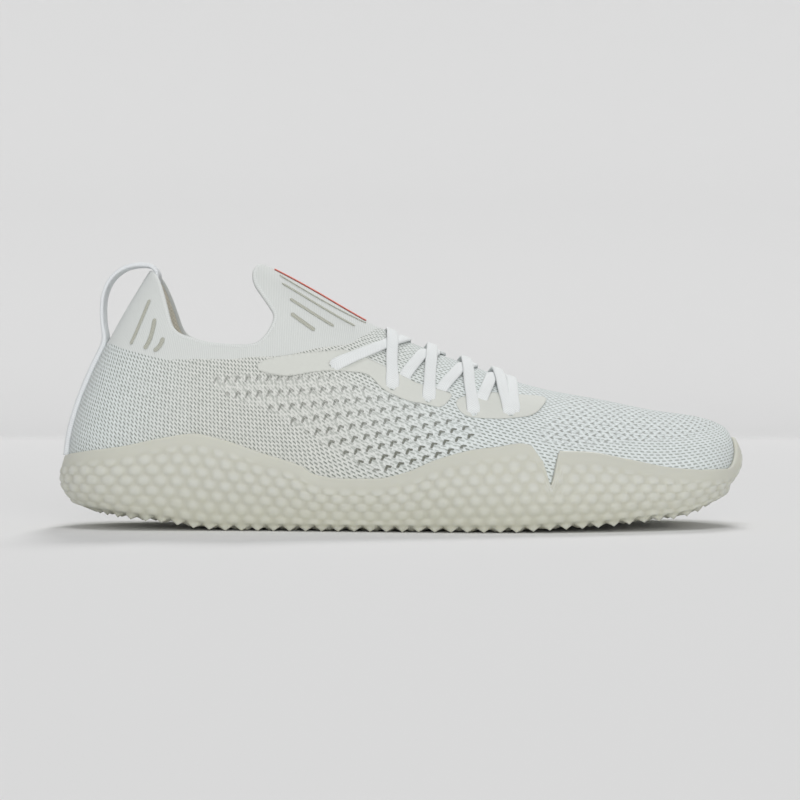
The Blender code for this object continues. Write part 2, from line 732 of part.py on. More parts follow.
def build_pull_loop(parts, material):
    """Webbing up the heel from the rubber, out into a loop, and over the tab's top edge."""
    path = []
    foot = share_at_height(0.0, wave_height(0.0) + 2 * GAP)
    leave = share_at_height(0.0, WEBBING_LEAVES_HEEL * HEEL_TAB_HEIGHT)
    for i in range(8):
        t = foot + (leave - foot) * i / 7
        point = off_form(0.0, t, 1.5 * GAP)
        path.append((point[0], point[2], t, 1.0))
    loop = open_curve([(x * LENGTH, z * HEEL_TAB_HEIGHT) for x, z in LOOP_LINE], 2)
    top = share_at_height(0.0, TAB_EDGE[0][1] * HEEL_TAB_HEIGHT)
    for n, (x, z) in enumerate(loop):
        start, end = 0.6 - 0.4 * n, 1.0 - 0.2 * (len(loop) - 1 - n)
        path.append((x, z, leave, start) if start > 0 else (x, z, top, max(0.0, end)))
    inside = KNIT_WALL + 4 * GAP
    for i in range(1, 3):
        z = LOOP_LINE[-1][1] * HEEL_TAB_HEIGHT - TAB_WEBBING_RUN * i / 2
        t = share_at_height(0.0, z)
        point = off_form(0.0, t, -inside)
        path.append((point[0], point[2], top, 1.0))
    points = []
    for x, z, t, curl in path:
        for j in range(WEBBING_COLUMNS):
            y = WEBBING_WIDTH * (j / (WEBBING_COLUMNS - 1) - 0.5)
            points.append((x + curl * heel_curl(t, y), y, z))
    mesh = bpy.data.meshes.new("pull_loop")
    mesh.from_pydata([tuple(map(float, p)) for p in points], [], grid_faces(len(path), WEBBING_COLUMNS, False))
    piece = bpy.data.objects.new("pull_loop", mesh)
    parts.objects.link(piece)
    thicken(piece, WEBBING_THICKNESS, False)
    finish(piece, material)


def principled(name, colour, roughness):
    material = bpy.data.materials.new(name)
    material.use_nodes = True
    shader = material.node_tree.nodes["Principled BSDF"]
    shader.inputs["Base Color"].default_value = (*colour, 1.0)
    shader.inputs["Roughness"].default_value = roughness
    return material


def stand_on_origin(parts):
    """Moves the shoe so that the middle of its box stands on the origin."""
    corners = np.array([vertex.co for piece in parts.objects for vertex in piece.data.vertices])
    low, high = corners.min(axis=0), corners.max(axis=0)
    shift = Vector((-(low[0] + high[0]) / 2, -(low[1] + high[1]) / 2, -low[2]))
    for piece in parts.objects:
        for vertex in piece.data.vertices:
            vertex.co += shift


def main():
    for piece in list(bpy.data.objects):
        bpy.data.objects.remove(piece)
    parts = new_collection("barefoot_shoe")
    cutters = new_collection("cutters")
    knit = principled("knit", (0.78, 0.80, 0.78), 0.9)
    rubber = principled("rubber", (0.66, 0.66, 0.58), 0.5)
    film = principled("film", (0.80, 0.80, 0.77), 0.6)
    lace = principled("lace", (0.85, 0.86, 0.86), 0.8)
    webbing = principled("webbing", (0.74, 0.76, 0.77), 0.8)
    lining = principled("lining", (0.55, 0.52, 0.43), 0.95)
    build_outsole(parts, rubber)
    build_upper(parts, cutters, knit)
    build_insole(parts, lining)
    build_film("eyestay_rear_outer", FILM_REAR, False, parts, cutters, film)
    build_film("eyestay_rear_inner", FILM_REAR, True, parts, cutters, film)
    build_film("eyestay_front_outer", FILM_FRONT, False, parts, cutters, film)
    build_film("eyestay_front_inner", FILM_FRONT, True, parts, cutters, film)
    build_laces(parts, lace)
    build_pull_loop(parts, webbing)
    for cutter in list(cutters.objects):
        bpy.data.objects.remove(cutter)
    stand_on_origin(parts)


main()
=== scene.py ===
# %% [markdown]
# # A knitted barefoot shoe
#
# The shoe is a knitted sock on a cup of milky rubber. A maker starts from the last, the wooden
# foot that everything is stretched over. So does this lesson: one function gives the last's
# surface, and every piece is laid on it.

import math
from functools import partialmethod

import bmesh
import bpy
import numpy as np
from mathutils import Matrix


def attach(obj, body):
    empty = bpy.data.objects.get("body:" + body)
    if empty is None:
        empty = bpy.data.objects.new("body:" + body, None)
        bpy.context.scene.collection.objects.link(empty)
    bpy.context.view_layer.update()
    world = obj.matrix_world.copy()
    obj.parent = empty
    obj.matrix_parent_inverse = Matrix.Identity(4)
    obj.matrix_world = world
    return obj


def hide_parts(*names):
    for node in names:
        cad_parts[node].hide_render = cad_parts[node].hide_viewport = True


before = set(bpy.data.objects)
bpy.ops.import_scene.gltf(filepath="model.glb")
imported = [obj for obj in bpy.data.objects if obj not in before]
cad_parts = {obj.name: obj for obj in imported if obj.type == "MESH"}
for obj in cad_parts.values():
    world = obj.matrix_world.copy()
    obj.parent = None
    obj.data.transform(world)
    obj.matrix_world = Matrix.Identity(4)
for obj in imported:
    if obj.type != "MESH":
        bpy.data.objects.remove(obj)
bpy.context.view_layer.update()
print("solids in the frame:", sorted(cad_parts))

# %% [markdown]
# ## The last
#
# Each row of the table is one section across the foot, from the edge at the sole up to the ridge
# on top, as a cubic curve with two handles. A spline runs through the sections in a ring: heel,
# outer side, toe, inner side. A place on the shoe is then two numbers: w, how far round the ring,
# and t, how far up the section.

# %% Sizes
MM = 0.001
LENGTH = 290 * MM
BALL_WIDTH = 98 * MM
HEIGHT = 110.5 * MM
KNIT_WALL = 2.0 * MM
RUBBER_PEAK = 39.3 * MM
RUBBER_WALL = 3.6 * MM
LUG_DEPTH = 2.3 * MM
# The frame's origin, as seen from the heel where the tables start.
ORIGIN = np.array([0.14568, 0.0003, 0.0])

# %% The sections
# In each row: the edge (place, outer side, inner side, height), the low handle and the high one
# (ahead, out, up or down) and the ridge (place, side, height), as shares of the three sizes.
FORM_ROWS = (
    (0.0259, 0.0, 0.0, 0.109, -0.0397, 0.0, 0.221, -0.1121, 0.0, 0.471, 0.1655, 0.0, 1.122),
    (0.0517, -0.214, 0.214, 0.098, -0.0293, 0.041, 0.238, -0.0897, 0.153, 0.335, 0.1724, 0.0, 1.122),
    (0.1103, -0.306, 0.301, 0.078, -0.0138, 0.041, 0.266, -0.0448, 0.235, 0.181, 0.1931, 0.0, 1.118),
    (0.2, -0.337, 0.321, 0.062, 0.0, 0.036, 0.299, -0.0103, 0.276, 0.072, 0.231, 0.0, 1.081),
    (0.3034, -0.362, 0.311, 0.0597, 0.0, 0.036, 0.317, 0.0069, 0.265, 0.027, 0.2966, 0.0, 1.005),
    (0.4069, -0.408, 0.316, 0.0597, 0.0, 0.041, 0.29, 0.0, 0.255, 0.018, 0.3793, 0.0, 0.89),
    (0.5103, -0.459, 0.367, 0.0597, 0.0, 0.041, 0.244, 0.0, 0.255, 0.014, 0.4793, 0.0, 0.742),
    (0.6138, -0.5, 0.449, 0.0597, 0.0, 0.041, 0.199, 0.0, 0.286, 0.009, 0.5897, 0.005, 0.623),
    (0.7138, -0.485, 0.5, 0.0615, 0.0, 0.046, 0.172, 0.0, 0.306, 0.005, 0.7017, 0.041, 0.528),
    (0.8034, -0.413, 0.5, 0.0724, 0.0, 0.051, 0.154, 0.0034, 0.286, 0.005, 0.7966, 0.082, 0.481),
    (0.8793, -0.316, 0.459, 0.0923, 0.0052, 0.051, 0.136, 0.0086, 0.235, 0.009, 0.8759, 0.112, 0.44),
    (0.931, -0.204, 0.393, 0.1267, 0.0155, 0.046, 0.118, 0.0138, 0.163, 0.023, 0.931, 0.128, 0.42),
    (0.9586, -0.066, 0.306, 0.1538, 0.02, 0.02, 0.068, 0.019, 0.1, 0.041, 0.9638, 0.128, 0.395),
    (0.9672, 0.128, 0.128, 0.1701, 0.0241, 0.0, 0.032, 0.019, 0.0, 0.059, 0.9786, 0.128, 0.371),
)


# %% A ring of sections
def section_controls(row, outer):
    """The four control points of one section, in metres from the heel."""
    at, outer_y, inner_y, z, low_x, low_out, low_up, high_x, high_out, high_down, *top = row
    away = -1 if outer else 1
    edge = (at, outer_y if outer else inner_y, z)
    low, high = (low_x, away * low_out, low_up), (high_x, away * high_out, -high_down)
    edge, low, high, top = (np.array(v) * (LENGTH, BALL_WIDTH, HEIGHT) for v in (edge, low, high, top))
    return np.concatenate([edge, edge + low, top + high, top])


def make_ring():
    """Knots round the shoe, half the way round, and a cubic's values and bends at the knots."""
    outer, inner = ([section_controls(row, side) for row in FORM_ROWS] for side in (True, False))
    along = [0.0]
    for k in range(1, len(FORM_ROWS)):
        steps = [np.linalg.norm((side[k] - side[k - 1])[:2]) for side in (outer, inner)]
        along.append(along[-1] + sum(steps) / 2)
    half = along[-1]
    knots = np.array(along + [2 * half - a for a in reversed(along[1:-1])])
    values = np.array(outer + list(reversed(inner[1:-1])))
    span = np.append(np.diff(knots), 2 * half - knots[-1])
    matrix, right = np.zeros((len(knots), len(knots))), np.zeros_like(values)
    for i in range(len(knots)):
        k = (i + 1) % len(knots)
        matrix[i, i - 1] += span[i - 1]
        matrix[i, i] += 2 * (span[i - 1] + span[i])
        matrix[i, k] += span[i]
        right[i] = 6 * ((values[k] - values[i]) / span[i] - (values[i] - values[i - 1]) / span[i - 1])
    return half, knots, span, values, np.linalg.solve(matrix, right)


HALF, KNOTS, SPAN, VALUES, BENDS = make_ring()
print(f"half way round the last: {HALF * 1000:.1f} mm")


# %% The last's surface
def on_form(w, t):
    """Points of the last at w round the shoe and t from the sole's edge (0) to the ridge (1)."""
    w, t = np.broadcast_arrays(np.mod(np.asarray(w, float), 2 * HALF), np.asarray(t, float))
    i = np.searchsorted(KNOTS, w, side="right") - 1
    k = (i + 1) % len(KNOTS)
    s = SPAN[i][..., None]
    u = (w - KNOTS[i])[..., None]
    v = s - u
    c = (BENDS[i] * v**3 + BENDS[k] * u**3) / (6 * s)
    c = c + (VALUES[i] / s - BENDS[i] * s / 6) * v + (VALUES[k] / s - BENDS[k] * s / 6) * u
    t = t[..., None]
    b = 1 - t
    low = b**3 * c[..., 0:3] + 3 * b * b * t * c[..., 3:6]
    return low + 3 * b * t * t * c[..., 6:9] + t**3 * c[..., 9:12] - ORIGIN


def unit(v):
    return v / np.maximum(np.linalg.norm(v, axis=-1, keepdims=True), 1e-12)


def form_normal(w, t):
    """The outward direction of the last's surface."""
    small, step = 0.2 * MM, 0.002
    t = np.clip(t, step, 1 - step)
    along = on_form(w + small, t) - on_form(w - small, t)
    return unit(np.cross(along, on_form(w, t + step) - on_form(w, t - step)))


def off_form(w, t, distance):
    return on_form(w, t) + form_normal(w, t) * np.asarray(distance)[..., None]


def plan_out(w, t):
    """The level outward direction of the last."""
    out = form_normal(w, t)
    out[..., 2] = 0.0
    return unit(out)


def half_share(w):
    """How far from heel (0) to toe (1) a place on either side is."""
    w = np.mod(w, 2 * HALF)
    return np.minimum(w, 2 * HALF - w) / HALF


def halved(low, high, too_low, times):
    """The places between low and high at which too_low stops being true."""
    for _ in range(times):
        middle = (low + high) / 2
        short = too_low(middle)
        low, high = np.where(short, middle, low), np.where(short, high, middle)
    return low, high


def share_at_height(w, z):
    """The section share t at which the last reaches height z."""
    w, z = np.broadcast_arrays(np.asarray(w, float), np.asarray(z, float))
    low, high = halved(np.zeros(w.shape), np.ones(w.shape), lambda t: on_form(w, t)[..., 2] < z, 26)
    return (low + high) / 2


def smooth_table(rows):
    """A curve through short rows of (place, value) that never overshoots between two rows."""
    place, value = np.array(rows).T
    step = np.diff(place)
    rise = np.diff(value) / step
    slope = np.zeros(len(rows))
    slope[0], slope[-1] = rise[0], rise[-1]
    for k in range(1, len(rows) - 1):
        if rise[k - 1] * rise[k] > 0:
            before, after = 2 * step[k] + step[k - 1], step[k] + 2 * step[k - 1]
            slope[k] = (before + after) / (before / rise[k - 1] + after / rise[k])

    def at(where):
        where = np.clip(where, place[0], place[-1])
        k = np.minimum(np.searchsorted(place, where, side="right") - 1, len(rows) - 2)
        u = (where - place[k]) / step[k]
        curve = value[k] * (1 + 2 * u) * (1 - u) ** 2 + value[k + 1] * (3 - 2 * u) * u * u
        return curve + step[k] * u * (1 - u) * (slope[k] * (1 - u) - slope[k + 1] * u)

    return at


def eased(low, high, value):
    """0 below low, 1 above high, and a soft step between."""
    u = np.clip((value - low) / (high - low), 0.0, 1.0)
    return u * u * (3 - 2 * u)


def running(steps):
    """0, and then the sum of the steps so far."""
    return np.concatenate([[0.0], np.cumsum(steps)])


def way_along(line):
    """The length of a line up to each of its points."""
    return running(np.linalg.norm(np.diff(line, axis=0), axis=1))


def on_side(w, other):
    """A place on the outer side, or the same place on the other side."""
    return 2 * HALF - w if other else w


def from_heel(share):
    """The frame's x at a share of the length."""
    return share * LENGTH - ORIGIN[0]

# %% [markdown]
# ## Meshes made from a flat grid
#
# Almost every piece of a shoe is a sheet that was bent to a shape. So each one starts as a flat
# grid from one bmesh operator, and its vertices are then moved to where a function says.

# %% A grid that is bent by a function
PIECES = {}
# Vertices nearer than this are one.
SEAM = 0.01 * MM


def bent_grid(columns, rows, place):
    """A grid of that many squares; place takes shares across and along and gives points."""
    work = bmesh.new()
    bmesh.ops.create_grid(work, x_segments=columns, y_segments=rows, size=1.0)
    flat = np.array([vertex.co for vertex in work.verts])[:, :2]
    low, high = flat.min(axis=0), flat.max(axis=0)
    shares = np.round((flat - low) / (high - low) * (columns, rows)) / (columns, rows)
    for vertex, point in zip(work.verts, place(*shares.T)):
        vertex.co = point
    return work


def add_values(work, **values):
    """Writes one number on each vertex for each name, for the materials to read."""
    for name, numbers in values.items():
        layer = work.verts.layers.float.new(name)
        for vertex, number in zip(work.verts, numbers):
            vertex[layer] = number


def add_object(name, data):
    thing = bpy.data.objects.new(name, data)
    bpy.context.scene.collection.objects.link(thing)
    return thing


def finish_piece(name, work, turn=True):
    """Closes seams, turns the faces outward, shades smooth and makes the object."""
    bmesh.ops.remove_doubles(work, verts=work.verts, dist=SEAM)
    bmesh.ops.dissolve_degenerate(work, edges=work.edges, dist=0.001 * MM)
    loose = [vertex for vertex in work.verts if not vertex.link_faces]
    bmesh.ops.delete(work, geom=loose, context="VERTS")
    if turn:
        bmesh.ops.recalc_face_normals(work, faces=work.faces)
    for face in work.faces:
        face.smooth = True
    mesh = bpy.data.meshes.new(name)
    work.to_mesh(mesh)
    work.free()
    piece = PIECES[name] = add_object(name, mesh)
    print(f"{name}: {len(mesh.polygons)} faces")
    return piece


def give_wall(piece, thickness, outward, inside_material=0):
    wall = piece.modifiers.new("Wall", "SOLIDIFY")
    wall.thickness = thickness
    wall.offset = 1.0 if outward else -1.0
    wall.use_even_offset = True
    wall.material_offset = inside_material

# %% [markdown]
# ## Cutting a sheet along a line
#
# A knitter shapes the opening on the machine, and a cutter punches the films. Here each outline
# is a short table of places seen from the side. Every vertex gets its distance to the outline,
# edges that cross it are split exactly there, and what lies outside is deleted.

# %% Outlines seen from the side
def smooth_outline(points, parts):
    """Rounds a closed outline with a curve through its points."""
    points = np.array(points, float)
    a, b, c, d = (np.roll(points, -k, axis=0)[:, None] for k in (-1, 0, 1, 2))
    u = (np.arange(parts) / parts)[None, :, None]
    curve = 2 * b + (c - a) * u + (2 * a - 5 * b + 4 * c - d) * u**2 + (3 * b - a - 3 * c + d) * u**3
    return (0.5 * curve).reshape(-1, 2)


def in_metres(outline):
    """Shares of length and height as x and z in the frame."""
    outline = np.array(outline, float)
    return outline * np.array([LENGTH, HEIGHT]) - ORIGIN[[0, 2]]


def inside_distance(outline, x, z):
    """Distance from a closed outline in metres, positive inside it."""
    nearest = np.full(np.shape(x), 1.0)
    inside = np.zeros(np.shape(x), bool)
    for a, b in zip(outline, np.roll(outline, -1, axis=0)):
        run = b - a
        u = np.clip(((x - a[0]) * run[0] + (z - a[1]) * run[1]) / max(run @ run, 1e-12), 0.0, 1.0)
        nearest = np.minimum(nearest, np.hypot(x - a[0] - u * run[0], z - a[1] - u * run[1]))
        if a[1] != b[1]:
            crosses = (a[1] > z) != (b[1] > z)
            inside ^= crosses & (x < (b[0] - a[0]) * (z - a[1]) / (b[1] - a[1]) + a[0])
    return np.where(inside, nearest, -nearest)


NEAR_LINE = 0.02 * MM


def trim(work, keep):
    """Cuts a sheet where keep changes sign and deletes its negative part."""
    layer = work.verts.layers.float.new("keep")
    for vertex, number in zip(work.verts, keep):
        vertex[layer] = number if abs(number) > NEAR_LINE else NEAR_LINE
    for edge in list(work.edges):
        a, b = edge.verts
        before, after = a[layer], b[layer]
        if (before > 0) != (after > 0):
            _, middle = bmesh.utils.edge_split(edge, a, before / (before - after))
            middle[layer] = 0.0
    for face in list(work.faces):
        on_line = [vertex for vertex in face.verts if vertex[layer] == 0.0]
        sides = [vertex[layer] for vertex in face.verts]
        if len(on_line) == 2 and min(sides) < 0 < max(sides):
            bmesh.utils.face_split(face, on_line[0], on_line[1])
    outside = [face for face in work.faces if sum(vertex[layer] for vertex in face.verts) < 0]
    bmesh.ops.delete(work, geom=outside, context="FACES")

# %% [markdown]
# ## Shader maths as expressions
#
# A knit is drawn by sums on the sheet's own coordinates. This small class wraps a socket, so that
# adding two of them adds a Math node.

# %% Materials
def paint(red, green, blue):
    """A colour given as 0 to 255 on a screen, as the shader wants it."""
    channels = [c / 255 for c in (red, green, blue)]
    linear = [c / 12.92 if c <= 0.04045 else ((c + 0.055) / 1.055) ** 2.4 for c in channels]
    return (*linear, 1.0)


class Value:
    """A socket of a material that can be added, multiplied and compared."""

    def __init__(self, finish, socket):
        self.finish = finish
        self.socket = socket

    def sum(self, operation, *others):
        inputs = dict(enumerate((self, *others)))
        return self.finish.node("ShaderNodeMath", {"operation": operation}, inputs)

    def __rsub__(self, other):
        return self * -1.0 + other

    __add__ = __radd__ = partialmethod(sum, "ADD")
    __mul__ = __rmul__ = partialmethod(sum, "MULTIPLY")
    __sub__ = partialmethod(sum, "SUBTRACT")
    __truediv__ = partialmethod(sum, "DIVIDE")
    __abs__ = partialmethod(sum, "ABSOLUTE")
    whole = partialmethod(sum, "FLOOR")
    part = partialmethod(sum, "FRACT")
    sine = partialmethod(sum, "SINE")
    root = partialmethod(sum, "SQRT")
    least = partialmethod(sum, "MINIMUM")
    most = partialmethod(sum, "MAXIMUM")


class Finish:
    """A material that is written as expressions."""

    def __init__(self, name, **sockets):
        self.material = bpy.data.materials.new(name)
        self.material.use_nodes = True
        self.tree = self.material.node_tree
        self.shader = self.tree.nodes["Principled BSDF"]
        for socket, value in sockets.items():
            self.into(socket.replace("_", " "), value)

    def node(self, kind, settings, inputs, output=0):
        node = self.tree.nodes.new(kind)
        for key, value in settings.items():
            setattr(node, key, value)
        for key, value in inputs.items():
            self.fill(node.inputs[key], value)
        return Value(self, node.outputs[output])

    def fill(self, socket, value):
        if isinstance(value, Value):
            self.tree.links.new(value.socket, socket)
        else:
            socket.default_value = value

    def into(self, socket, value):
        self.fill(self.shader.inputs[socket], value)

    def on_vertex(self, name):
        return self.node("ShaderNodeAttribute", {"attribute_name": name}, {}, "Fac")

    def place(self):
        return self.node("ShaderNodeTexCoord", {}, {}, "Object")

    def coordinates(self, *axes):
        """The object's own coordinates by name, in metres."""
        split = self.node("ShaderNodeSeparateXYZ", {}, {"Vector": self.place()})
        return [Value(self, split.socket.node.outputs[axis]) for axis in axes]

    def speckle(self, size, detail=2.0):
        """Noise from 0 to 1 with grains of that size in metres."""
        sockets = {"Vector": self.place(), "Scale": 1 / size, "Detail": detail}
        return self.node("ShaderNodeTexNoise", {}, sockets)

    def step(self, low, high, value):
        sockets = {"Value": value, "From Min": low, "From Max": high}
        return self.node("ShaderNodeMapRange", {"interpolation_type": "SMOOTHSTEP"}, sockets)

    def mix(self, share, first, second):
        return self.node("ShaderNodeMix", {"data_type": "RGBA"}, {0: share, 6: first, 7: second}, 2)

    def bump(self, height, distance, strength):
        sockets = {"Height": height, "Distance": distance, "Strength": strength}
        self.into("Normal", self.node("ShaderNodeBump", {}, sockets))

# %% [markdown]
# ## The knitted upper
#
# The upper comes off the knitting machine as one sock. Three knits meet in it: dense diagonal
# ribs, an open mesh on the side and over the toes, and a smooth double knit at the tab, the
# collar and the tongue. The ribs and holes are drawn from numbers on the sheet's vertices, so
# they turn with the surface.

# %% Where the knits meet, as shares of length and height
TAB_EDGE = (
    (0.1241, 0.977), (0.136, 0.965), (0.1445, 0.9375), (0.1538, 0.8805), (0.1628, 0.8072), (0.1693, 0.7575),
    (0.18, 0.7276), (0.2017, 0.7068), (0.229, 0.6896),
)
TONGUE_EDGE = (
    (0.2645, 0.6824), (0.2879, 0.6842), (0.3052, 0.7122), (0.3172, 0.7647), (0.3203, 0.8027),
    (0.3138, 0.8371), (0.3003, 0.8878), (0.2903, 0.9303), (0.2883, 0.9729), (0.2938, 0.9991),
    (0.3034, 1.0036),
)
SMOOTH_KNIT = (
    (-0.05, 0.7), (0.04, 0.7), (0.0809, 0.6936), (0.0963, 0.6776), (0.1118, 0.6658), (0.1476, 0.6423),
    (0.1724, 0.6331), (0.2139, 0.635), (0.2563, 0.6335), (0.2943, 0.6423), (0.3335, 0.6471),
    (0.3775, 0.674), (0.4227, 0.6907), (0.4349, 0.7106), (0.4589, 0.7509), (0.475, 0.82), (0.475, 1.3),
    (-0.05, 1.3),
)
SIDE_MESH = (
    (0.23, 0.56), (0.302, 0.5706), (0.3981, 0.5668), (0.4569, 0.5244), (0.5082, 0.4957), (0.5315, 0.4548),
    (0.5636, 0.4218), (0.6012, 0.3827), (0.6051, 0.3508), (0.573, 0.2942), (0.5314, 0.2548),
    (0.4965, 0.2339), (0.4579, 0.2248), (0.4057, 0.2968), (0.3564, 0.38), (0.3022, 0.4573),
    (0.2641, 0.4873),
)
TOE_MESH = (
    (0.692, 0.34), (0.7054, 0.3888), (0.7326, 0.4515), (0.75, 0.52), (0.7734, 0.6), (0.93, 0.6),
    (0.97, 0.43), (0.9616, 0.3811), (0.9314, 0.3556), (0.8862, 0.3387), (0.8376, 0.3286), (0.7783, 0.3233),
    (0.7276, 0.3196),
)


def inside_outline(outline, points):
    """How far inside an outline each point is, seen from the side."""
    return inside_distance(outline, points[:, 0], points[:, 2])


def knit_zone(outline, points):
    """How far inside a zone each point is, in millimetres."""
    return inside_outline(in_metres(smooth_outline(outline, 4)), points) / MM


def opening_outline():
    """What the opening takes away, seen from the side."""
    line = list(TAB_EDGE) + list(TONGUE_EDGE)
    ahead, past = (2 * np.array(a) - np.array(b) for a, b in (line[:2], line[:-3:-1]))
    curve = smooth_outline([ahead, *line, past], 6)[6:-11]
    top = [(TONGUE_EDGE[-1][0], 1.4), (-0.05, 1.4), (-0.05, TAB_EDGE[0][1])]
    return in_metres(np.vstack([curve, top]))


# %% Rib lines
# How steeply the ribs fall towards the toe, at places from heel (0) to toe (1).
RIB_FALL = smooth_table((
    (0.0, 1.15), (0.2, 1.1), (0.32, 0.95), (0.4, 0.64), (0.48, 0.38), (0.6, 0.27), (0.75, 0.2),
    (0.88, 0.06), (1.0, 0.0),
))
RIB_PITCH = 1.55 * MM
DASH_PITCH = 2.6 * MM


def rib_coordinates(w, up):
    """Counts of ribs and of dashes, from w round the shoe and the way up."""
    share = np.linspace(0.0, 1.0, 400)
    fall = RIB_FALL(share)
    cosine = 1 / np.hypot(1.0, fall)
    sunk, run = (running((v[1:] + v[:-1]) / 2 * (HALF / 399)) for v in (fall, cosine))
    here = half_share(w)
    ribs = (up + np.interp(here, share, sunk)) / RIB_PITCH
    tilt = np.interp(here, share, fall * cosine)
    dashes = (np.interp(here, share, run) - (up - 35 * MM) * tilt) / DASH_PITCH
    return ribs, dashes


# %% Holes of the side mesh
# The first hole, from the heel and the floor; the rows' pitch, tilt and spread towards the toe;
# the columns' pitch, its growth per row, each row's shift, and the first one's.
HOLE_ORIGIN = (115.8 * MM, 57.8 * MM)
HOLE_ROW = (5.48 * MM, 0.06, 0.031)
HOLE_COLUMN = (4.355 * MM, 0.101 * MM, 0.685 * MM, 12.1 * MM)


def hole_coordinates(points):
    """Counts of hole rows downward and of hole columns forward."""
    x = points[:, 0] + ORIGIN[0] - HOLE_ORIGIN[0]
    down = HOLE_ORIGIN[1] - points[:, 2]
    pitch, tilt, spread = HOLE_ROW
    row = (down + tilt * x) / np.maximum(pitch - spread * x, 0.4 * pitch)
    first, growth, shift, start = HOLE_COLUMN
    column = (x + start - shift * row) / np.maximum(first + growth * row, 0.5 * first)
    return row, column


# %% The upper's sheet
UPPER_COLUMNS = 640
UPPER_ROWS = 74
# Soft troughs and ridges where the sock gives: (share of length and of height, reach and depth in mm).
TROUGHS = (
    (0.245, 0.6, 9.0, 0.3), (0.33, 0.6, 10.0, 0.3), (0.665, 0.52, 8.0, 0.25), (0.7, 0.44, 9.0, 0.3),
    (0.15, 0.56, 12.0, 0.25),
)
RIDGES = ((0.29, 0.64, 8.0, 0.3), (0.682, 0.48, 8.0, 0.22), (0.12, 0.61, 10.0, 0.2))


def knit_height(points, smooth, mesh, row, column):
    """How far the knit stands off the last."""
    height = -0.22 * eased(-0.8, 0.8, smooth) + 0.1 * np.exp(-((smooth + 0.9) / 0.7) ** 2)
    from_hole = (row - np.round(row)) ** 2 + (column - np.round(column)) ** 2
    hole = np.clip(1 - from_hole / 0.09, 0.0, 1.0)
    height = height - 0.3 * hole * eased(0.0, 1.5, mesh) * (1 - eased(-1.0, 0.5, smooth))
    for table, way in ((TROUGHS, -1), (RIDGES, 1)):
        for at, high, reach, depth in table:
            centre = in_metres([(at, high)])[0]
            away = np.hypot(points[:, 0] - centre[0], points[:, 2] - centre[1]) / MM
            height = height + way * depth * np.exp(-((away / reach) ** 2))
    return height * MM


def build_upper():
    """The sock as one sheet on the last, cut open at the collar."""
    stored = {}

    def place(across, along):
        w = across * 2 * HALF
        order = np.lexsort((across, along))
        points = on_form(w, along)
        table = points[order].reshape(UPPER_ROWS + 1, UPPER_COLUMNS + 1, 3)
        rise = np.linalg.norm(np.diff(table, axis=0), axis=2)
        up = np.empty(len(w))
        up[order] = np.vstack([np.zeros(UPPER_COLUMNS + 1), np.cumsum(rise, axis=0)]).reshape(-1)
        ribs, dashes = rib_coordinates(w, up)
        row, column = hole_coordinates(points)
        stored.update(
            smooth=knit_zone(SMOOTH_KNIT, points), side_mesh=knit_zone(SIDE_MESH, points),
            toe_mesh=knit_zone(TOE_MESH, points), ribs=ribs, dashes=dashes,
            hole_row=row, hole_column=column, girth=half_share(w) * HALF / MM,
        )
        stored["keep"] = -inside_outline(opening_outline(), points)
        lift = knit_height(points, stored["smooth"], stored["side_mesh"], row, column)
        return points + form_normal(w, along) * lift[:, None]

    work = bent_grid(UPPER_COLUMNS, UPPER_ROWS, place)
    keep = stored.pop("keep")
    add_values(work, **stored)
    trim(work, keep)
    piece = finish_piece("knit_upper", work)
    give_wall(piece, KNIT_WALL, False, inside_material=1)
    return piece


upper = build_upper()

# %% [markdown]
# ## The rolled edge of the opening
#
# A knitted collar is folded over on itself, so its edge is round. The sheet's own border is
# followed, smoothed, and a round cord of the wall's thickness is swept along it.

# %% Sweeping a section along a line
def smoothed(line, times, closed):
    for _ in range(times):
        if closed:
            line = (np.roll(line, 1, axis=0) + 2 * line + np.roll(line, -1, axis=0)) / 4
        else:
            line = np.vstack([line[:1], (line[:-2] + 2 * line[1:-1] + line[2:]) / 4, line[-1:]])
    return line


def oval(across, flat, tall):
    """Places on a section, from -1 to 1; it gets squarer as the powers grow."""
    angle = 2 * np.pi * across
    pairs = ((np.cos(angle), flat), (np.sin(angle), tall))
    return [np.sign(v) * np.abs(v) ** (2 / power) for v, power in pairs]


def swept(line, ups, half_width, half_height, around, closed=False, power=2.0):
    """A bmesh tube with an oval section along a line."""
    count = len(line)
    ahead = np.gradient(line, axis=0)
    if closed:
        ahead = np.roll(line, -1, axis=0) - np.roll(line, 1, axis=0)
    side = unit(np.cross(ahead, ups))
    up = unit(np.cross(side, ahead))
    rows = count if closed else count - 1
    widths, marks = np.broadcast_to(half_width, (count,)), way_along(line) / MM
    stored = {}

    def place(across, along):
        i = np.round(along * rows).astype(int) % count
        a, b = oval(across, power, power)
        stored.update(across=a, along=marks[i])
        return line[i] + side[i] * (widths[i] * a)[:, None] + up[i] * (half_height * b)[:, None]

    work = bent_grid(around, rows, place)
    add_values(work, **stored)
    return work


# %% The collar's edge
COLLAR_RADIUS = 1.12 * MM
COLLAR_STEP = 0.8 * MM
FEWEST_IN_RING = 90


def border_line(piece):
    """The highest border of a sheet as an ordered ring of points, and the normals there."""
    work = bmesh.new()
    work.from_mesh(piece.data)
    border = dict.fromkeys(edge for edge in work.edges if edge.is_boundary)
    rings = []
    while border:
        edge, _ = border.popitem()
        ring = list(edge.verts)
        while ahead := [edge for edge in ring[-1].link_edges if edge in border]:
            border.pop(ahead[0])
            ring.append(ahead[0].other_vert(ring[-1]))
        rings.append(ring)
    rings = [ring for ring in rings if len(ring) > FEWEST_IN_RING]
    high = max(rings, key=lambda ring: sum(vertex.co.z for vertex in ring) / len(ring))
    points = np.array([vertex.co for vertex in high])
    normals = np.array([vertex.normal for vertex in high])
    work.free()
    return points, normals


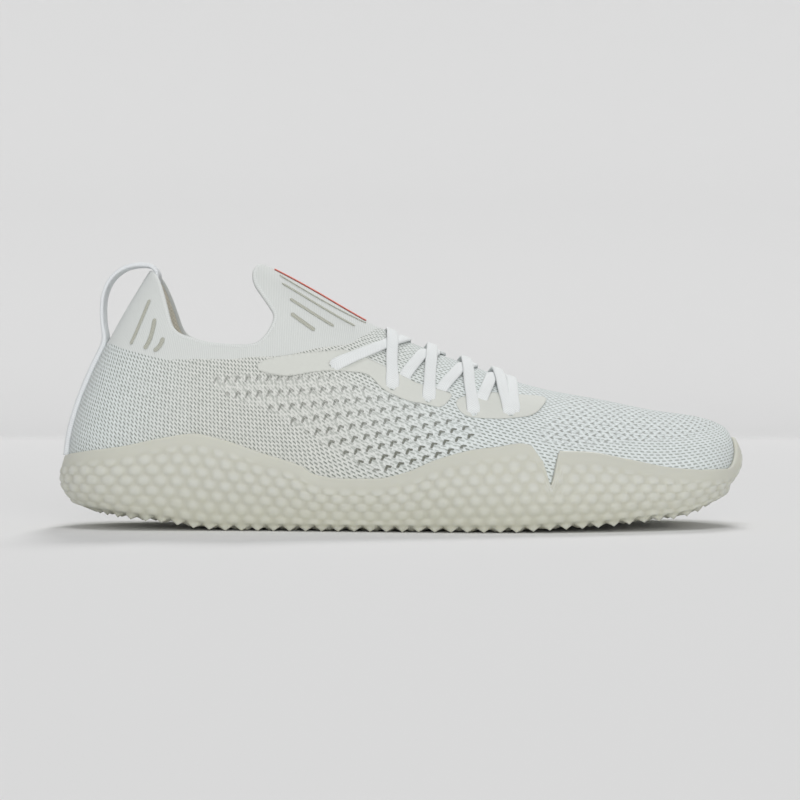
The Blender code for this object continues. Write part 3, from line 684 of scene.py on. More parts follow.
def even_ring(points, others, step):
    """The same ring with evenly spaced points."""
    both = [np.vstack([values, values[:1]]) for values in (points, others)]
    length = way_along(both[0])
    marks = np.linspace(0.0, length[-1], int(length[-1] / step), endpoint=False)
    return [np.stack([np.interp(marks, length, v[:, c]) for c in range(3)], axis=1) for v in both]


rim, rim_normals = even_ring(*border_line(upper), COLLAR_STEP)
rim_normals = unit(smoothed(rim_normals, 6, True))
rim = smoothed(rim - rim_normals * KNIT_WALL / 2, 3, True)
finish_piece("collar_edge", swept(rim, rim_normals, COLLAR_RADIUS, COLLAR_RADIUS, 12, True))
print(f"the collar's edge is {len(rim) * COLLAR_STEP / MM:.0f} mm long")

# %% [markdown]
# ## Knitted-in slots and the stripe
#
# The tab and the tongue have narrow windows of a darker mesh, and one coloured line runs down the
# tongue. Each is a narrow patch that follows the last.

# %% Narrow patches on the last
# Slots: start, middle and end as (share of the half ring, share up the section), and width in mm.
TAB_SLOTS = (
    ((0.1115, 0.712), (0.1108, 0.637), (0.1072, 0.566), 1.5),
    ((0.133, 0.63), (0.1351, 0.571), (0.1301, 0.535), 1.8),
    ((0.1544, 0.558), (0.1528, 0.535), (0.1451, 0.52), 1.8),
)
TONGUE_SLOTS = (
    ((0.3367, 0.915), (0.4031, 0.888), (0.4689, 0.919), 0.9),
    ((0.3402, 0.846), (0.4024, 0.822), (0.4525, 0.815), 1.2),
    ((0.3531, 0.768), (0.387, 0.75), (0.421, 0.734), 1.5),
    ((0.3538, 0.695), (0.372, 0.679), (0.391, 0.664), 1.8),
)


def patch_on_last(start, middle, end, width, other):
    """A narrow rounded patch between three places on one side of the last."""
    share = np.linspace(0.0, 1.0, 40)[:, None]
    a, b, c = (np.array(place) for place in (start, middle, end))
    bend = a + (4 * b - c - 3 * a) * share + (2 * a + 2 * c - 4 * b) * share**2
    w, t = on_side(bend[:, 0] * HALF, other), bend[:, 1]
    line = off_form(w, t, 0.05 * MM)
    half = width / 2 * MM
    from_end = np.minimum(share[:, 0], 1 - share[:, 0]) * np.linalg.norm(line[-1] - line[0])
    narrow = np.sqrt(np.clip(1 - (1 - np.minimum(from_end, half) / half) ** 2, 0.0004, 1.0))
    return swept(line, form_normal(w, t), half * narrow, 0.16 * MM, 12)


def joined(name, works):
    """Several meshes as one piece."""
    whole = bmesh.new()
    for work in works:
        mesh = bpy.data.meshes.new("part")
        work.to_mesh(mesh)
        work.free()
        whole.from_mesh(mesh)
        bpy.data.meshes.remove(mesh)
    return finish_piece(name, whole)


for name, slots in (("tab_slots", TAB_SLOTS), ("tongue_slots", TONGUE_SLOTS)):
    joined(name, [patch_on_last(*slot, other) for slot in slots for other in (False, True)])


# %% The stripe down the tongue
STRIPE_ENDS = (0.314, 0.447)
STRIPE_WIDTH = 5.2 * MM


def build_stripe():
    """A thin coloured band on the ridge of the tongue."""
    x = from_heel(np.linspace(*STRIPE_ENDS, 60))
    places = np.linspace(0.0, HALF, 3000)
    w = np.interp(x, on_form(places, 1.0)[:, 0], places)
    line = off_form(w, 0.9985, -0.02 * MM)
    up = unit(np.cross(np.gradient(line, axis=0), np.array([0.0, 1.0, 0.0])) * -1)
    finish_piece("tongue_stripe", swept(line, up, STRIPE_WIDTH / 2, 0.3 * MM, 14, False, 2.5))


build_stripe()

# %% [markdown]
# ## Films at the eyelets
#
# Thin films are pressed onto the knit where the laces pull. Each is cut from a sheet that lies
# just over the knit, and its eyelets are punched out of it.

# %% Outlines of the films
FILM_REAR = (
    (0.2962, 0.593), (0.3059, 0.63), (0.35, 0.652), (0.3959, 0.663), (0.4228, 0.664), (0.47, 0.612),
    (0.5193, 0.545), (0.5645, 0.508), (0.5686, 0.492), (0.5541, 0.456), (0.5303, 0.467), (0.5048, 0.481),
    (0.4741, 0.519), (0.4514, 0.574), (0.426, 0.586), (0.4007, 0.589), (0.3779, 0.586), (0.3345, 0.57),
)
FILM_FRONT = (
    (0.5755, 0.474), (0.589, 0.423), (0.6286, 0.412), (0.6583, 0.415), (0.6831, 0.425), (0.6986, 0.455),
    (0.7048, 0.489), (0.671, 0.5), (0.6245, 0.508), (0.595, 0.5),
)
# The sheet that each film is cut from, as shares of w and t.
FILM_START = (0.27, 0.36)
FILM_REACH = (0.45, 0.58)
FILM_THICKNESS = 0.22 * MM
FILM_LIFT = 0.12 * MM
# Eyelets, front one last: (share of the half ring, share up the section).
EYELETS = ((0.4117, 0.544), (0.4918, 0.541), (0.5375, 0.537), (0.5947, 0.529), (0.6405, 0.579))
EYELET_RADIUS = 1.5 * MM


def build_film(name, outline, other):
    rounded = in_metres(smooth_outline(outline, 5))
    keep = []

    def place(across, along):
        w = on_side((FILM_START[0] + FILM_REACH[0] * (1 - across if other else across)) * HALF, other)
        t = FILM_START[1] + FILM_REACH[1] * along
        points = on_form(w, t)
        keep.append(inside_outline(rounded, points))
        for at, high in EYELETS:
            eyelet = on_form(on_side(at * HALF, other), high)
            keep.append(np.linalg.norm(points - eyelet, axis=1) - EYELET_RADIUS)
        return points + form_normal(w, t) * FILM_LIFT

    work = bent_grid(170, 60, place)
    trim(work, np.min(keep, axis=0))
    piece = finish_piece(name, work, turn=False)
    give_wall(piece, FILM_THICKNESS, True)
    return piece


films = {}
for name, outline in (("rear", FILM_REAR), ("front", FILM_FRONT)):
    for side in ("outer", "inner"):
        films[f"eyestay_{name}_{side}"] = build_film(f"film_{name}_{side}", outline, side == "inner")

# %% [markdown]
# ## The lace
#
# The flat lace runs criss-cross. The first runs start in the rear eyelets and the others come out
# under the edge of a film. Each goes over the tongue, crosses its twin on the ridge and dives
# into an eyelet. Each run is an oval tube on the last, lifted where it passes over its twin.

# %% Where the runs go
LACE_WIDTH = 4.9 * MM
LACE_THICKNESS = 1.5 * MM
# Where the runs on top cross the ridge, shares of length.
CROSSINGS = (0.4819, 0.5404, 0.59, 0.6353)
# Where the runs below pass, as shares of length and height, and where they reach the ridge.
PASSES = (
    (0.484, 0.696, 0.504), (0.5337, 0.6688, 0.555), (0.5837, 0.6014, 0.6017), (0.6293, 0.5751, 0.647),
)
# Where the runs below come out from under a film's edge, as shares of w and t.
STARTS = ((0.4022, 0.538), (0.506, 0.598), (0.552, 0.59), (0.6045, 0.6))
BAR_CROSSING = 0.657
PAST_EYELET = 0.018
RUN_POINTS = 44
RIDGE_T = 0.985


def ridge_place(x_share):
    """The place on the ridge at a share of length, seen from the side, as (x, z)."""
    ridge = on_form(np.linspace(0.0, HALF, 4000), RIDGE_T)
    x = from_heel(x_share)
    return x, float(np.interp(x, ridge[:, 0], ridge[:, 2]))


def leg(low, way):
    """Places (w, t) from a low end up to the ridge, along a line seen from the side."""
    share = np.linspace(0.0, 1.0, RUN_POINTS)
    t = low[1] + (RIDGE_T - low[1]) * share
    w = np.full(RUN_POINTS, low[0] * HALF)
    start = on_form(w[:1], t[:1])[0]
    line = np.array([(start[0], start[2])] + way)
    for _ in range(40):
        place = on_form(w, t)
        w = w + 0.35 * (np.interp(place[:, 2], line[:, 1], line[:, 0]) - place[:, 0])
    return w, t, share


def lace_run(outer_end, inner_end, way, outer_dives, inner_dives, below=None):
    """One run over the ridge, as a tube and its line; it rises where it lies over a run below."""
    legs = []
    for end, other, dives in ((outer_end, False, outer_dives), (inner_end, True, inner_dives)):
        low = (end[0], end[1] - PAST_EYELET) if dives else end
        w, t, share = leg(low, way[-1:] if other else way)
        sunk = 2.4 * (1 - eased(0.0, 0.16, share))
        if dives:
            sunk = 3.6 * (1 - eased(0.0, 0.07, share)) ** 1.5
        width = 1 + 0.14 * np.exp(-((share - 0.1) / 0.08) ** 2) * (1.0 if dives else 0.2)
        rows = np.array([on_side(w, other), t, -sunk * MM, width])
        legs.append(rows[:, ::-1] if other else rows)
    w, t, height, widths = np.hstack(legs)
    height = height + 0.3 * MM + LACE_THICKNESS / 2
    if below is not None:
        away = np.linalg.norm(off_form(w, t, height)[:, None] - below[None], axis=2).min(axis=1)
        height = height + LACE_THICKNESS * 0.97 * (1 - eased(3.4 * MM, 8.0 * MM, away))
    line = smoothed(off_form(w, t, height), 6, False)
    ups = unit(smoothed(form_normal(w, t), 8, False))
    return swept(line, ups, LACE_WIDTH / 2 * widths, LACE_THICKNESS / 2, 20, False, 3.2), line


def build_lace():
    works, lines = [], []
    for i, (crossing, (x, z, ridge)) in enumerate(zip(CROSSINGS, PASSES)):
        first, hole = STARTS[i], EYELETS[i + 1]
        under = [(from_heel(x), z * HEIGHT), ridge_place(ridge)]
        work, line = lace_run(first, hole, under, i == 0, True)
        over, upper_line = lace_run(hole, first, [ridge_place(crossing)], True, i == 0, line)
        works += [work, over]
        lines += [line, upper_line]
    last = (EYELETS[-1][0] + 0.004, EYELETS[-1][1] + 0.02)
    work, line = lace_run(last, last, [ridge_place(BAR_CROSSING)], True, True)
    works.append(work)
    lines.append(line)
    length = sum(way_along(line)[-1] for line in lines)
    print(f"{len(lines)} runs of lace, {length * 1000:.0f} mm in all")
    return joined("lace", works)


lace = build_lace()

# %% [markdown]
# ## The webbing up the heel
#
# One woven tape is sewn up the back of the heel, leaves it as a loop to pull on, and goes over the
# tab's edge to the inside. Across its width it takes the heel's own curve, which fades out where
# it is free.

# %% The tape
WAVE_AT_HEEL = 0.745
WEBBING_WIDTH = 13.0 * MM
WEBBING_THICKNESS = 1.9 * MM
SEWN_IN = 0.8 * MM
LOOP_LINE = (
    (0.0698, 0.724), (0.0679, 0.778), (0.0672, 0.833), (0.0697, 0.887), (0.0786, 0.937), (0.0938, 0.972),
    (0.109, 0.986), (0.124, 0.989), (0.1345, 0.985), (0.14, 0.972), (0.1405, 0.955),
)
LEAVES_HEEL = 0.69
HEEL_POINTS = 26
TAPE_POINTS = 150


def heel_curl(t, y):
    """How far forward the heel has turned at y to the side of its middle, at section share t."""
    z = on_form(0.0, t)[..., 2]

    def too_near(w):
        return -(on_form(w, share_at_height(w, z))[..., 1] + ORIGIN[1]) < np.abs(y)

    side, _ = halved(np.zeros(np.shape(y)), np.full(np.shape(y), 0.2 * HALF), too_near, 22)
    return on_form(side, share_at_height(side, z))[..., 0] - on_form(0.0, t)[..., 0]


def tape_line(foot, leave):
    """The tape's line seen from the side: up the heel, round the loop and inside the tab."""
    heel = off_form(0.0, np.linspace(foot, leave, HEEL_POINTS), 0.45 * MM)[:, [0, 2]]
    loop = smooth_outline(LOOP_LINE, 6)[6 : 6 * (len(LOOP_LINE) - 2) + 1]
    loop = in_metres(np.vstack([LOOP_LINE[0], loop, LOOP_LINE[-1]]))
    inside_t = share_at_height(0.0, (0.955 - 0.04 * np.arange(1, 4)) * HEIGHT)
    return np.vstack([heel, loop, off_form(0.0, inside_t, -KNIT_WALL - 1.2 * MM)[:, [0, 2]]])


def build_webbing():
    heights = (WAVE_AT_HEEL * RUBBER_PEAK + 0.6 * MM, LEAVES_HEEL * HEIGHT, TAB_EDGE[0][1] * HEIGHT)
    foot, leave, top = (float(share_at_height(0.0, z)) for z in heights)
    flat = tape_line(foot, leave)
    length = way_along(flat)
    marks = np.linspace(0.0, length[-1], TAPE_POINTS)
    x, z = smoothed(np.stack([np.interp(marks, length, row) for row in flat.T], axis=1), 6, False).T
    free_from, free_to = length[HEEL_POINTS - 1], length[-1] - 16 * MM
    curl = 1 - eased(free_from - 2 * MM, free_from + 10 * MM, marks)
    curl_top = eased(free_to - 6 * MM, free_to + 6 * MM, marks)
    up_heel = np.interp(marks, length[:HEEL_POINTS], np.linspace(foot, leave, HEEL_POINTS))
    t = np.where(marks < free_from, up_heel, leave)
    ahead = unit(np.stack([np.gradient(x), np.gradient(z)], axis=1))
    stored = {}

    def place(across, along):
        i = np.round(along * (TAPE_POINTS - 1)).astype(int)
        a, b = oval(across, 7, 3)
        y = a * WEBBING_WIDTH / 2
        stored.update(across=a, along=marks[i] / MM)
        bend = curl[i] * heel_curl(t[i], y) + curl_top[i] * heel_curl(np.full(len(i), top), y)
        out = (b + 1) / 2 * WEBBING_THICKNESS - SEWN_IN * curl[i] * (1 - b) / 2
        points = (x[i] + bend - ahead[i, 1] * out, y - ORIGIN[1], z[i] + ahead[i, 0] * out)
        return np.stack(points, axis=1)

    work = bent_grid(36, TAPE_POINTS - 1, place)
    add_values(work, **stored)
    bmesh.ops.remove_doubles(work, verts=work.verts, dist=SEAM)
    ends = [edge for edge in work.edges if edge.is_boundary]
    bmesh.ops.holes_fill(work, edges=ends, sides=0)
    print(f"the tape is {length[-1] * 1000:.0f} mm long")
    return finish_piece("heel_webbing", work)


webbing = build_webbing()

# %% [markdown]
# ## The rubber cup
#
# The cup is moulded in one shot: a wall that rises in waves, studs in staggered rows on it, teeth
# along its foot and lugs below. One grid goes up the wall, over its lip and down its inside; a
# second one is the tread and a third the floor. The studs are the wall's own form, so they show
# in every shadow.

# %% The cup's tables
WAVE = smooth_table((
    (0.0, 0.745), (0.04, 0.775), (0.084, 0.819), (0.125, 0.865), (0.171, 0.949), (0.216, 1.0),
    (0.254, 0.939), (0.306, 0.804), (0.361, 0.662), (0.375, 0.59), (0.415, 0.542), (0.455, 0.542),
    (0.491, 0.595), (0.538, 0.738), (0.589, 0.842), (0.619, 0.87), (0.647, 0.903), (0.671, 0.86),
    (0.7, 0.822), (0.727, 0.817), (0.785, 0.733), (0.846, 0.639), (0.89, 0.616), (0.935, 0.616),
    (0.953, 0.65), (0.967, 0.74), (0.98, 0.87), (0.99, 0.93), (1.0, 0.943),
))
NOTCH = (
    (0.654, 1.0), (0.6622, 0.858), (0.6685, 0.765), (0.6723, 0.715), (0.6783, 0.445), (0.694, 0.82),
    (0.697, 1.0),
)
WALL_PROFILE = smooth_table((
    (0.0, 0.3), (0.167, 0.92), (0.333, 1.0), (0.5, 1.0), (0.667, 0.94), (0.833, 0.74), (1.0, 0.46),
))
TUCK = smooth_table((
    (0.0, 0.034), (0.07, 0.026), (0.16, 0.004), (0.3, 0.0), (0.85, 0.0), (0.94, 0.018), (1.0, 0.03),
))
TUCK_LEFT = smooth_table((
    (0.0, 1.0), (0.167, 0.16), (0.333, -0.02), (0.5, -0.08), (0.667, -0.05), (1.0, 0.0),
))
TREAD_LINE = smooth_table((
    (0.0, 0.1), (0.03, 0.078), (0.05, 0.064), (0.1, 0.043), (0.17, 0.025), (0.215, 0.006), (0.25, 0.0),
    (0.64, 0.0), (0.717, 0.01), (0.776, 0.016), (0.835, 0.03), (0.88, 0.04), (0.91, 0.055), (0.93, 0.077),
    (0.95, 0.102), (0.975, 0.14), (1.0, 0.19),
))
# The arch's ends as shares of length, and its lift.
ARCH = (0.24, 0.56, 2.2 * MM)
STUDS_ROUND = 96
STUD_ROW = 4.15 * MM
STUD_HALF = (2.55 * MM, 2.15 * MM)
STUD_HEIGHT = 0.72 * MM
# The smooth band under the wave's top: where the studs are gone, and where they are whole.
BAND_FADE = (2.31 * MM, 6.3 * MM)
CUP_COLUMNS = 768
CUP_ROWS = 56
INSIDE_ROWS = 10
CUP_GAP = 0.45 * MM
LIP_GAP = 0.08 * MM
LUG_PITCH = 9.6 * MM


def wave_height(w, notched=True):
    share = half_share(w)
    height = WAVE(share)
    if notched:
        at, value = np.array(NOTCH).T
        near = (share > at[0]) & (share < at[-1])
        height = np.where(near, np.minimum(height, np.interp(share, at, value)), height)
    return height * RUBBER_PEAK


def tread_height(x, y):
    """Height of the lugs' tips, lifted a little under the arch on the inner side."""
    share = (x + ORIGIN[0]) / LENGTH
    low, high, lift = ARCH
    arch = np.where((share > low) & (share < high), np.sin(np.pi * (share - low) / (high - low)) ** 2, 0.0)
    side = np.clip((y + ORIGIN[1]) / (0.3 * BALL_WIDTH), 0.0, 1.0)
    return TREAD_LINE(share) * HEIGHT + lift * arch * side


def tooth(w):
    """1 at the tips of the teeth along the foot and 0 between them."""
    place = w / (2 * HALF) * STUDS_ROUND - 0.5
    return 1 - 2 * np.abs(place - np.round(place))


def foot_height(w):
    """Height of the wall's foot, where it meets the tread."""
    stand = WALL_PROFILE(0.0) * RUBBER_WALL - TUCK(half_share(w)) * LENGTH
    foot = on_form(w, 0.0) + plan_out(w, 0.15) * stand[:, None]
    return tread_height(foot[:, 0], foot[:, 1])


def stud(w, z, low, full):
    """Height of the studs, 0 to 1, in rows that follow the foot."""
    pitch = STUD_ROW * (full / (32 * MM)) ** 0.6
    row = (z - low) / pitch
    nearest = np.round(row)
    place = w / (2 * HALF) * STUDS_ROUND - 0.5 + 0.5 * np.mod(nearest, 2)
    across = (place - np.round(place)) * 2 * HALF / STUDS_ROUND / STUD_HALF[0]
    over = (row - nearest) * pitch / STUD_HALF[1]
    return np.clip(1 - np.abs(across) ** 2.2 - np.abs(over) ** 2.2, 0.0, 1.0) ** 0.62


def cup_wall(w, v):
    """The wall's outside at w and v up it, its studs' height, and how bare of them it is."""
    low, wave, top = foot_height(w), wave_height(w, False), wave_height(w)
    full = wave - low
    knee = np.minimum(v, 1 / 3)
    z = low + full * knee + (top - low - full / 3) * (v - knee) * 1.5
    share = (z - low) / full
    t = share_at_height(w, np.maximum(z, on_form(w, 0.0)[:, 2]))
    level = plan_out(w, np.maximum(t, 0.02))
    bare = np.maximum(1 - eased(*BAND_FADE, wave - z), 1 - eased(0.3 * MM, 1.6 * MM, top - z))
    raised = stud(w, z, low, full) * (1 - bare)
    stand = WALL_PROFILE(share) * RUBBER_WALL - TUCK(half_share(w)) * LENGTH * TUCK_LEFT(share)
    lift = STUD_HEIGHT * (raised - 0.45) * (1 - bare)
    point = on_form(w, t) + level * (stand + lift)[:, None]
    point[:, 2] = z + LUG_DEPTH * (1 - tooth(w)) * np.clip(1 - (z - low) / (3.2 * MM), 0.0, 1.0)
    return point, raised, bare


# %% The cup's three grids
def lug(x, y):
    """1 at the tips of the lugs below and 0 between them."""
    i, j = (x + ORIGIN[0]) / LUG_PITCH, (y + ORIGIN[1]) / LUG_PITCH
    a, b = i + j, i - j
    return np.clip(1 - (np.abs(a - np.round(a)) + np.abs(b - np.round(b))), 0.0, 1.0)


def build_cup():
    rows = CUP_ROWS + 2 + INSIDE_ROWS
    stored = {}

    def wall(across, along):
        w = across * 2 * HALF
        j = np.round(along * rows)
        point, raised, bare = cup_wall(w, np.clip(j / CUP_ROWS, 0.0, 1.0))
        top = share_at_height(w, wave_height(w))
        down = np.clip((j - CUP_ROWS - 2) / INSIDE_ROWS, 0.0, 1.0)
        lining = off_form(w, top * (1 - down), LIP_GAP + (CUP_GAP - LIP_GAP) * eased(0.0, 0.3, down))
        lining[:, 2] = np.where(down == 1.0, on_form(w, 0.0)[:, 2] - 0.3 * MM, lining[:, 2])
        lip = (point + off_form(w, top, LIP_GAP)) / 2
        lip[:, 2] += 0.25 * MM
        stored.update(stud=np.where(j <= CUP_ROWS, raised, 0.0), band=np.where(j <= CUP_ROWS, bare, 1.0))
        j = j[:, None]
        return np.where(j > CUP_ROWS + 1, lining, np.where(j == CUP_ROWS + 1, lip, point))

    def tread(across, along):
        w = along * HALF
        a, b = (cup_wall(end, np.zeros(len(w)))[0] for end in (w, 2 * HALF - w))
        point = a + (b - a) * across[:, None]
        from_rim = np.minimum(across, 1 - across) * np.linalg.norm(b - a, axis=1)
        from_end = np.minimum(along, 1 - along) * 2 * HALF
        inner = eased(0.0, 3 * MM, np.minimum(from_rim, from_end))
        place = point[:, 0], point[:, 1]
        deep = tread_height(*place) + LUG_DEPTH * (1 - lug(*place))
        rim_z = np.where(across < 0.5, a[:, 2], b[:, 2])
        point[:, 2] = rim_z + (deep - rim_z) * inner
        stored.update(stud=0.5 * lug(*place) * inner, band=np.zeros(len(w)))
        return point

    def floor(across, along):
        w = along * HALF
        a, b = (off_form(end, 0.0, CUP_GAP) for end in (w, 2 * HALF - w))
        for edge, end in ((a, w), (b, 2 * HALF - w)):
            edge[:, 2] = on_form(end, 0.0)[:, 2] - 0.3 * MM
        stored.update(stud=np.zeros(len(w)), band=np.ones(len(w)))
        return a + (b - a) * across[:, None]

    works = []
    half_way = CUP_COLUMNS // 2
    for place, columns, count in ((wall, CUP_COLUMNS, rows), (tread, 72, half_way), (floor, 8, half_way)):
        works.append(bent_grid(columns, count, place))
        add_values(works[-1], **stored)
    return joined("rubber_cup", works)


cup = build_cup()

# %% [markdown]
# ## The footbed
#
# A thin foam bed lies inside the sock on the cup's floor, with its edge a little raised.

# %% The bed
BED_THICKNESS = 3.0 * MM
BED_HOLLOW = 0.9 * MM


def build_footbed():
    inset = KNIT_WALL + 0.6 * MM

    def place(across, along):
        w = along * HALF
        a, b = (on_form(end, 0.0) - plan_out(end, 0.02) * inset for end in (w, 2 * HALF - w))
        point = a + (b - a) * across[:, None]
        hollow = BED_HOLLOW * (1 - np.abs(2 * across - 1) ** 6) * np.sin(np.pi * along)
        point[:, 2] = (a[:, 2] + b[:, 2]) / 2 + BED_THICKNESS - hollow
        return point

    work = bent_grid(28, 120, place)
    bmesh.ops.remove_doubles(work, verts=work.verts, dist=0.2 * MM)
    for face in work.faces:
        if face.normal.z < 0:
            face.normal_flip()
    piece = finish_piece("footbed", work, turn=False)
    give_wall(piece, BED_THICKNESS - 1.2 * MM, False)
    return piece


footbed = build_footbed()

# %% [markdown]
# ## Finishes
#
# The knit is white yarn with grey-green painted shade between its loops, and darker painted shade in its
# holes. Each rib, dash and hole is a sum on the numbers that the sheet carries. The same sums raise the bump,
# so light and colour agree.

# %% Knit
COOL_YARN = paint(233, 239, 239)
WARM_YARN = paint(230, 231, 226)
# SHADE is painted shade in the sunken dashes and loops between the yarns; it also darkens the random grain.
SHADE = paint(134, 142, 132)
# HOLE is painted shade seen through the mesh's holes.
HOLE = paint(98, 100, 84)
SMOOTH_YARN = paint(220, 223, 221)


def stroke(c, r, *places):
    """Distance from a short line through two or more places in a hole's own square."""
    nearest = None
    for start, end in zip(places, places[1:]):
        run = (end[0] - start[0], end[1] - start[1])
        along = ((c - start[0]) * run[0] + (r - start[1]) * run[1]) / (run[0] ** 2 + run[1] ** 2)
        along = along.most(0.0).least(1.0)
        x = c - start[0] - along * run[0]
        y = r - start[1] - along * run[1]
        away = (x * x + y * y).root()
        nearest = away if nearest is None else nearest.least(away)
    return nearest


def knit_finish():
    knit = Finish("knit", Roughness=0.92, Sheen_Weight=0.12, Sheen_Roughness=0.5)
    ribs, dashes = knit.on_vertex("ribs"), knit.on_vertex("dashes")
    grain = knit.speckle(1.1 * MM, 3.0)
    coarse = knit.speckle(3.0 * MM, 1.0)
    smooth = knit.step(-0.35, 0.35, knit.on_vertex("smooth"))
    side = knit.step(-1.5, 1.0, knit.on_vertex("side_mesh") + (coarse - 0.5) * 3.0)
    toe = knit.step(-1.5, 1.0, knit.on_vertex("toe_mesh") + (coarse - 0.5) * 3.0)

    # Dense ribs: short slanted dashes of painted shade, staggered from rib to rib.
    across = ribs.part() - 0.5
    stagger = (ribs.whole() * 0.5).part()
    along = (dashes + stagger + across * 0.35).part() - 0.5
    dash = (1 - knit.step(0.1, 0.27, abs(across))) * (1 - knit.step(0.2, 0.4, abs(along)))
    dash = dash * (1 - 0.55 * side.most(toe))

    # Open mesh on the side: one hooked hole in each square of the lattice, painted dark as the shade inside.
    row = knit.on_vertex("hole_row")
    r = (row + 0.5).part() - 0.5
    c = (knit.on_vertex("hole_column") + 0.5).part() - 0.5
    bent = stroke(c, r, (-0.22, 0.2), (0.02, -0.14), (0.24, -0.02))
    # They open more from row to row downward.
    wider = (row * 0.005).most(0.0).least(0.035)
    holes = (1 - knit.step(0.015, 0.1, bent + (grain - 0.5) * 0.1 - wider)) * side
    # Loops round each hole are sunk and take a little painted shade.
    loops = stroke(c, r, (-0.4, -0.36), (0.36, 0.4)).least(stroke(c, r, (-0.44, 0.3), (-0.26, 0.46)))
    loops = (1 - knit.step(0.02, 0.11, loops + (grain - 0.5) * 0.06)) * side

    # Smaller hooks over the toes, in rows a little wider than the ribs, also painted with the shade inside.
    rows = ribs * 0.62 + 0.5
    low = rows.part() - 0.5
    beside = (dashes * 0.76 + (rows.whole() * 0.5).part() + (coarse - 0.5) * 0.3).part() - 0.5
    hook = stroke(beside, low, (0.1, 0.26), (-0.14, 0.02), (0.16, -0.16))
    small = (1 - knit.step(0.05, 0.15, hook + (grain - 0.5) * 0.08)) * toe

    # The light yarn is a little warmer at the waist; the painted shade softens towards the toe.
    girth = knit.on_vertex("girth")
    fine = (girth * 6.9).sine() * 0.5 + 0.5
    open_knit = 1 - smooth
    waist = knit.step(15.0, 85.0, girth) * (1 - knit.step(115.0, 200.0, girth))
    uneven = (0.55 + coarse * 0.8).least(1.0) * (0.94 - 0.24 * knit.step(140.0, 290.0, girth))
    # The holes' painted shade darkens from row to row downward.
    deep = (row * 0.08 + 0.36).most(0.3).least(0.85)
    layers = (
        (dash * open_knit * uneven, SHADE), ((grain - 0.42) * 0.8 * open_knit, SHADE),
        (loops * 0.42 * open_knit, SHADE), (holes * open_knit * deep, HOLE), (small * open_knit * 0.52, HOLE),
        (smooth * 0.9, SMOOTH_YARN), (smooth * fine * 0.16, SHADE),
    )
    colour = knit.mix(waist, COOL_YARN, WARM_YARN)
    for share, over in layers:
        colour = knit.mix(share, colour, over)
    knit.into("Base Color", colour)
    mounds = (1 - across * across * 3.2) * (1 - along * along * 1.6)
    height = (mounds * 0.5 + 0.5 - dash * 0.9 + grain * 0.25 - loops * 0.2) * open_knit
    height = height - holes * 1.8 * open_knit - small * 1.2 * open_knit + fine * smooth * 0.16 + smooth * 0.7
    knit.bump(height, 0.45 * MM, 0.8)
    return knit.material


KNIT = knit_finish()


# %% Lining, slots and footbed
def ribbed(name, colour, shade, pitch):
    """A fine ribbed cloth, with ribs across two directions of the object."""
    cloth = Finish(name, Roughness=0.95)
    x, z = cloth.coordinates("X", "Z")
    turn = 2 * math.pi / pitch
    weave = (x * turn).sine() * (z * turn).sine() * 0.5 + 0.5
    grain = cloth.speckle(1.4 * MM)
    cloth.into("Base Color", cloth.mix(weave * 0.6 + grain * 0.3, colour, shade))
    cloth.bump(weave + grain * 0.5, 0.25 * MM, 0.7)
    return cloth.material


# The lining is painted much lighter than its own beige: painted light that lifts the shade inside the shoe.
LINING = ribbed("lining", paint(240, 236, 223), paint(212, 207, 190), 1.5 * MM)
SLOT = ribbed("slot_mesh", paint(200, 201, 190), paint(160, 161, 148), 1.1 * MM)
BED = ribbed("footbed", paint(186, 182, 168), paint(150, 146, 130), 1.3 * MM)
STRIPE = ribbed("stripe", paint(242, 150, 138), paint(234, 130, 116), 0.9 * MM)


# %% Film, lace, webbing
def film_finish():
    film = Finish("film", Roughness=0.72, Coat_Weight=0.03, Coat_Roughness=0.5)
    grain = film.speckle(1.6 * MM, 3.0)
    film.into("Base Color", film.mix(grain * 0.5, paint(216, 218, 212), paint(207, 209, 202)))
    film.bump(grain, 0.1 * MM, 0.5)
    return film.material


def woven(name, colour, shade, pitch, slope, depth):
    """A tape of fine slanted threads, mirrored on its middle line."""
    tape = Finish(name, Roughness=0.8, Sheen_Weight=0.25, Sheen_Roughness=0.4)
    along, across = tape.on_vertex("along"), tape.on_vertex("across")
    thread = (along / pitch + abs(across) * slope).part() - 0.5
    # The gaps between threads are sunk and take painted shade.
    gap = tape.step(0.25, 0.5, abs(thread))
    tape.into("Base Color", tape.mix(gap * 0.55, colour, shade))
    tape.bump(1 - thread * thread * 3 + tape.speckle(0.7 * MM) * 0.4, depth, 0.7)
    return tape.material


FILM = film_finish()
LACE = woven("lace", paint(236, 239, 239), paint(208, 211, 211), 0.85, 2.2, 0.16 * MM)
WEBBING = woven("webbing", paint(232, 235, 237), paint(214, 218, 221), 0.9, 6.0, 0.18 * MM)
EDGE = woven("collar_knit", paint(222, 225, 223), paint(203, 207, 203), 0.9, 0.2, 0.12 * MM)


# %% Milky rubber
def rubber_finish():
    rubber = Finish(
        "milky_rubber", Roughness=0.55, Subsurface_Weight=0.35, Subsurface_Radius=(1.0, 0.95, 0.75),
        Subsurface_Scale=3.5 * MM, Coat_Weight=0.05, Coat_Roughness=0.45,
    )
    # Stud and lug tips are painted lighter than the hollows between them: painted highlight on the tips,
    # painted shade in the hollows. The smooth band, the cup's inside and its floor are a little lighter too.
    light = rubber.on_vertex("stud").most(rubber.on_vertex("band") * 0.35)
    # The rubber is darker and yellower towards the bottom.
    low = 1 - rubber.step(0.0, 22 * MM, *rubber.coordinates("Z"))
    colour = rubber.mix(light, paint(205, 205, 193), paint(213, 214, 206))
    colour = rubber.mix(low * 0.4, colour, paint(198, 197, 174))
    colour = rubber.mix(rubber.speckle(9 * MM) * 0.12, colour, paint(180, 180, 160))
    rubber.into("Base Color", colour)
    rubber.bump(rubber.speckle(1.2 * MM, 3.0), 0.05 * MM, 0.4)
    return rubber.material


RUBBER = rubber_finish()
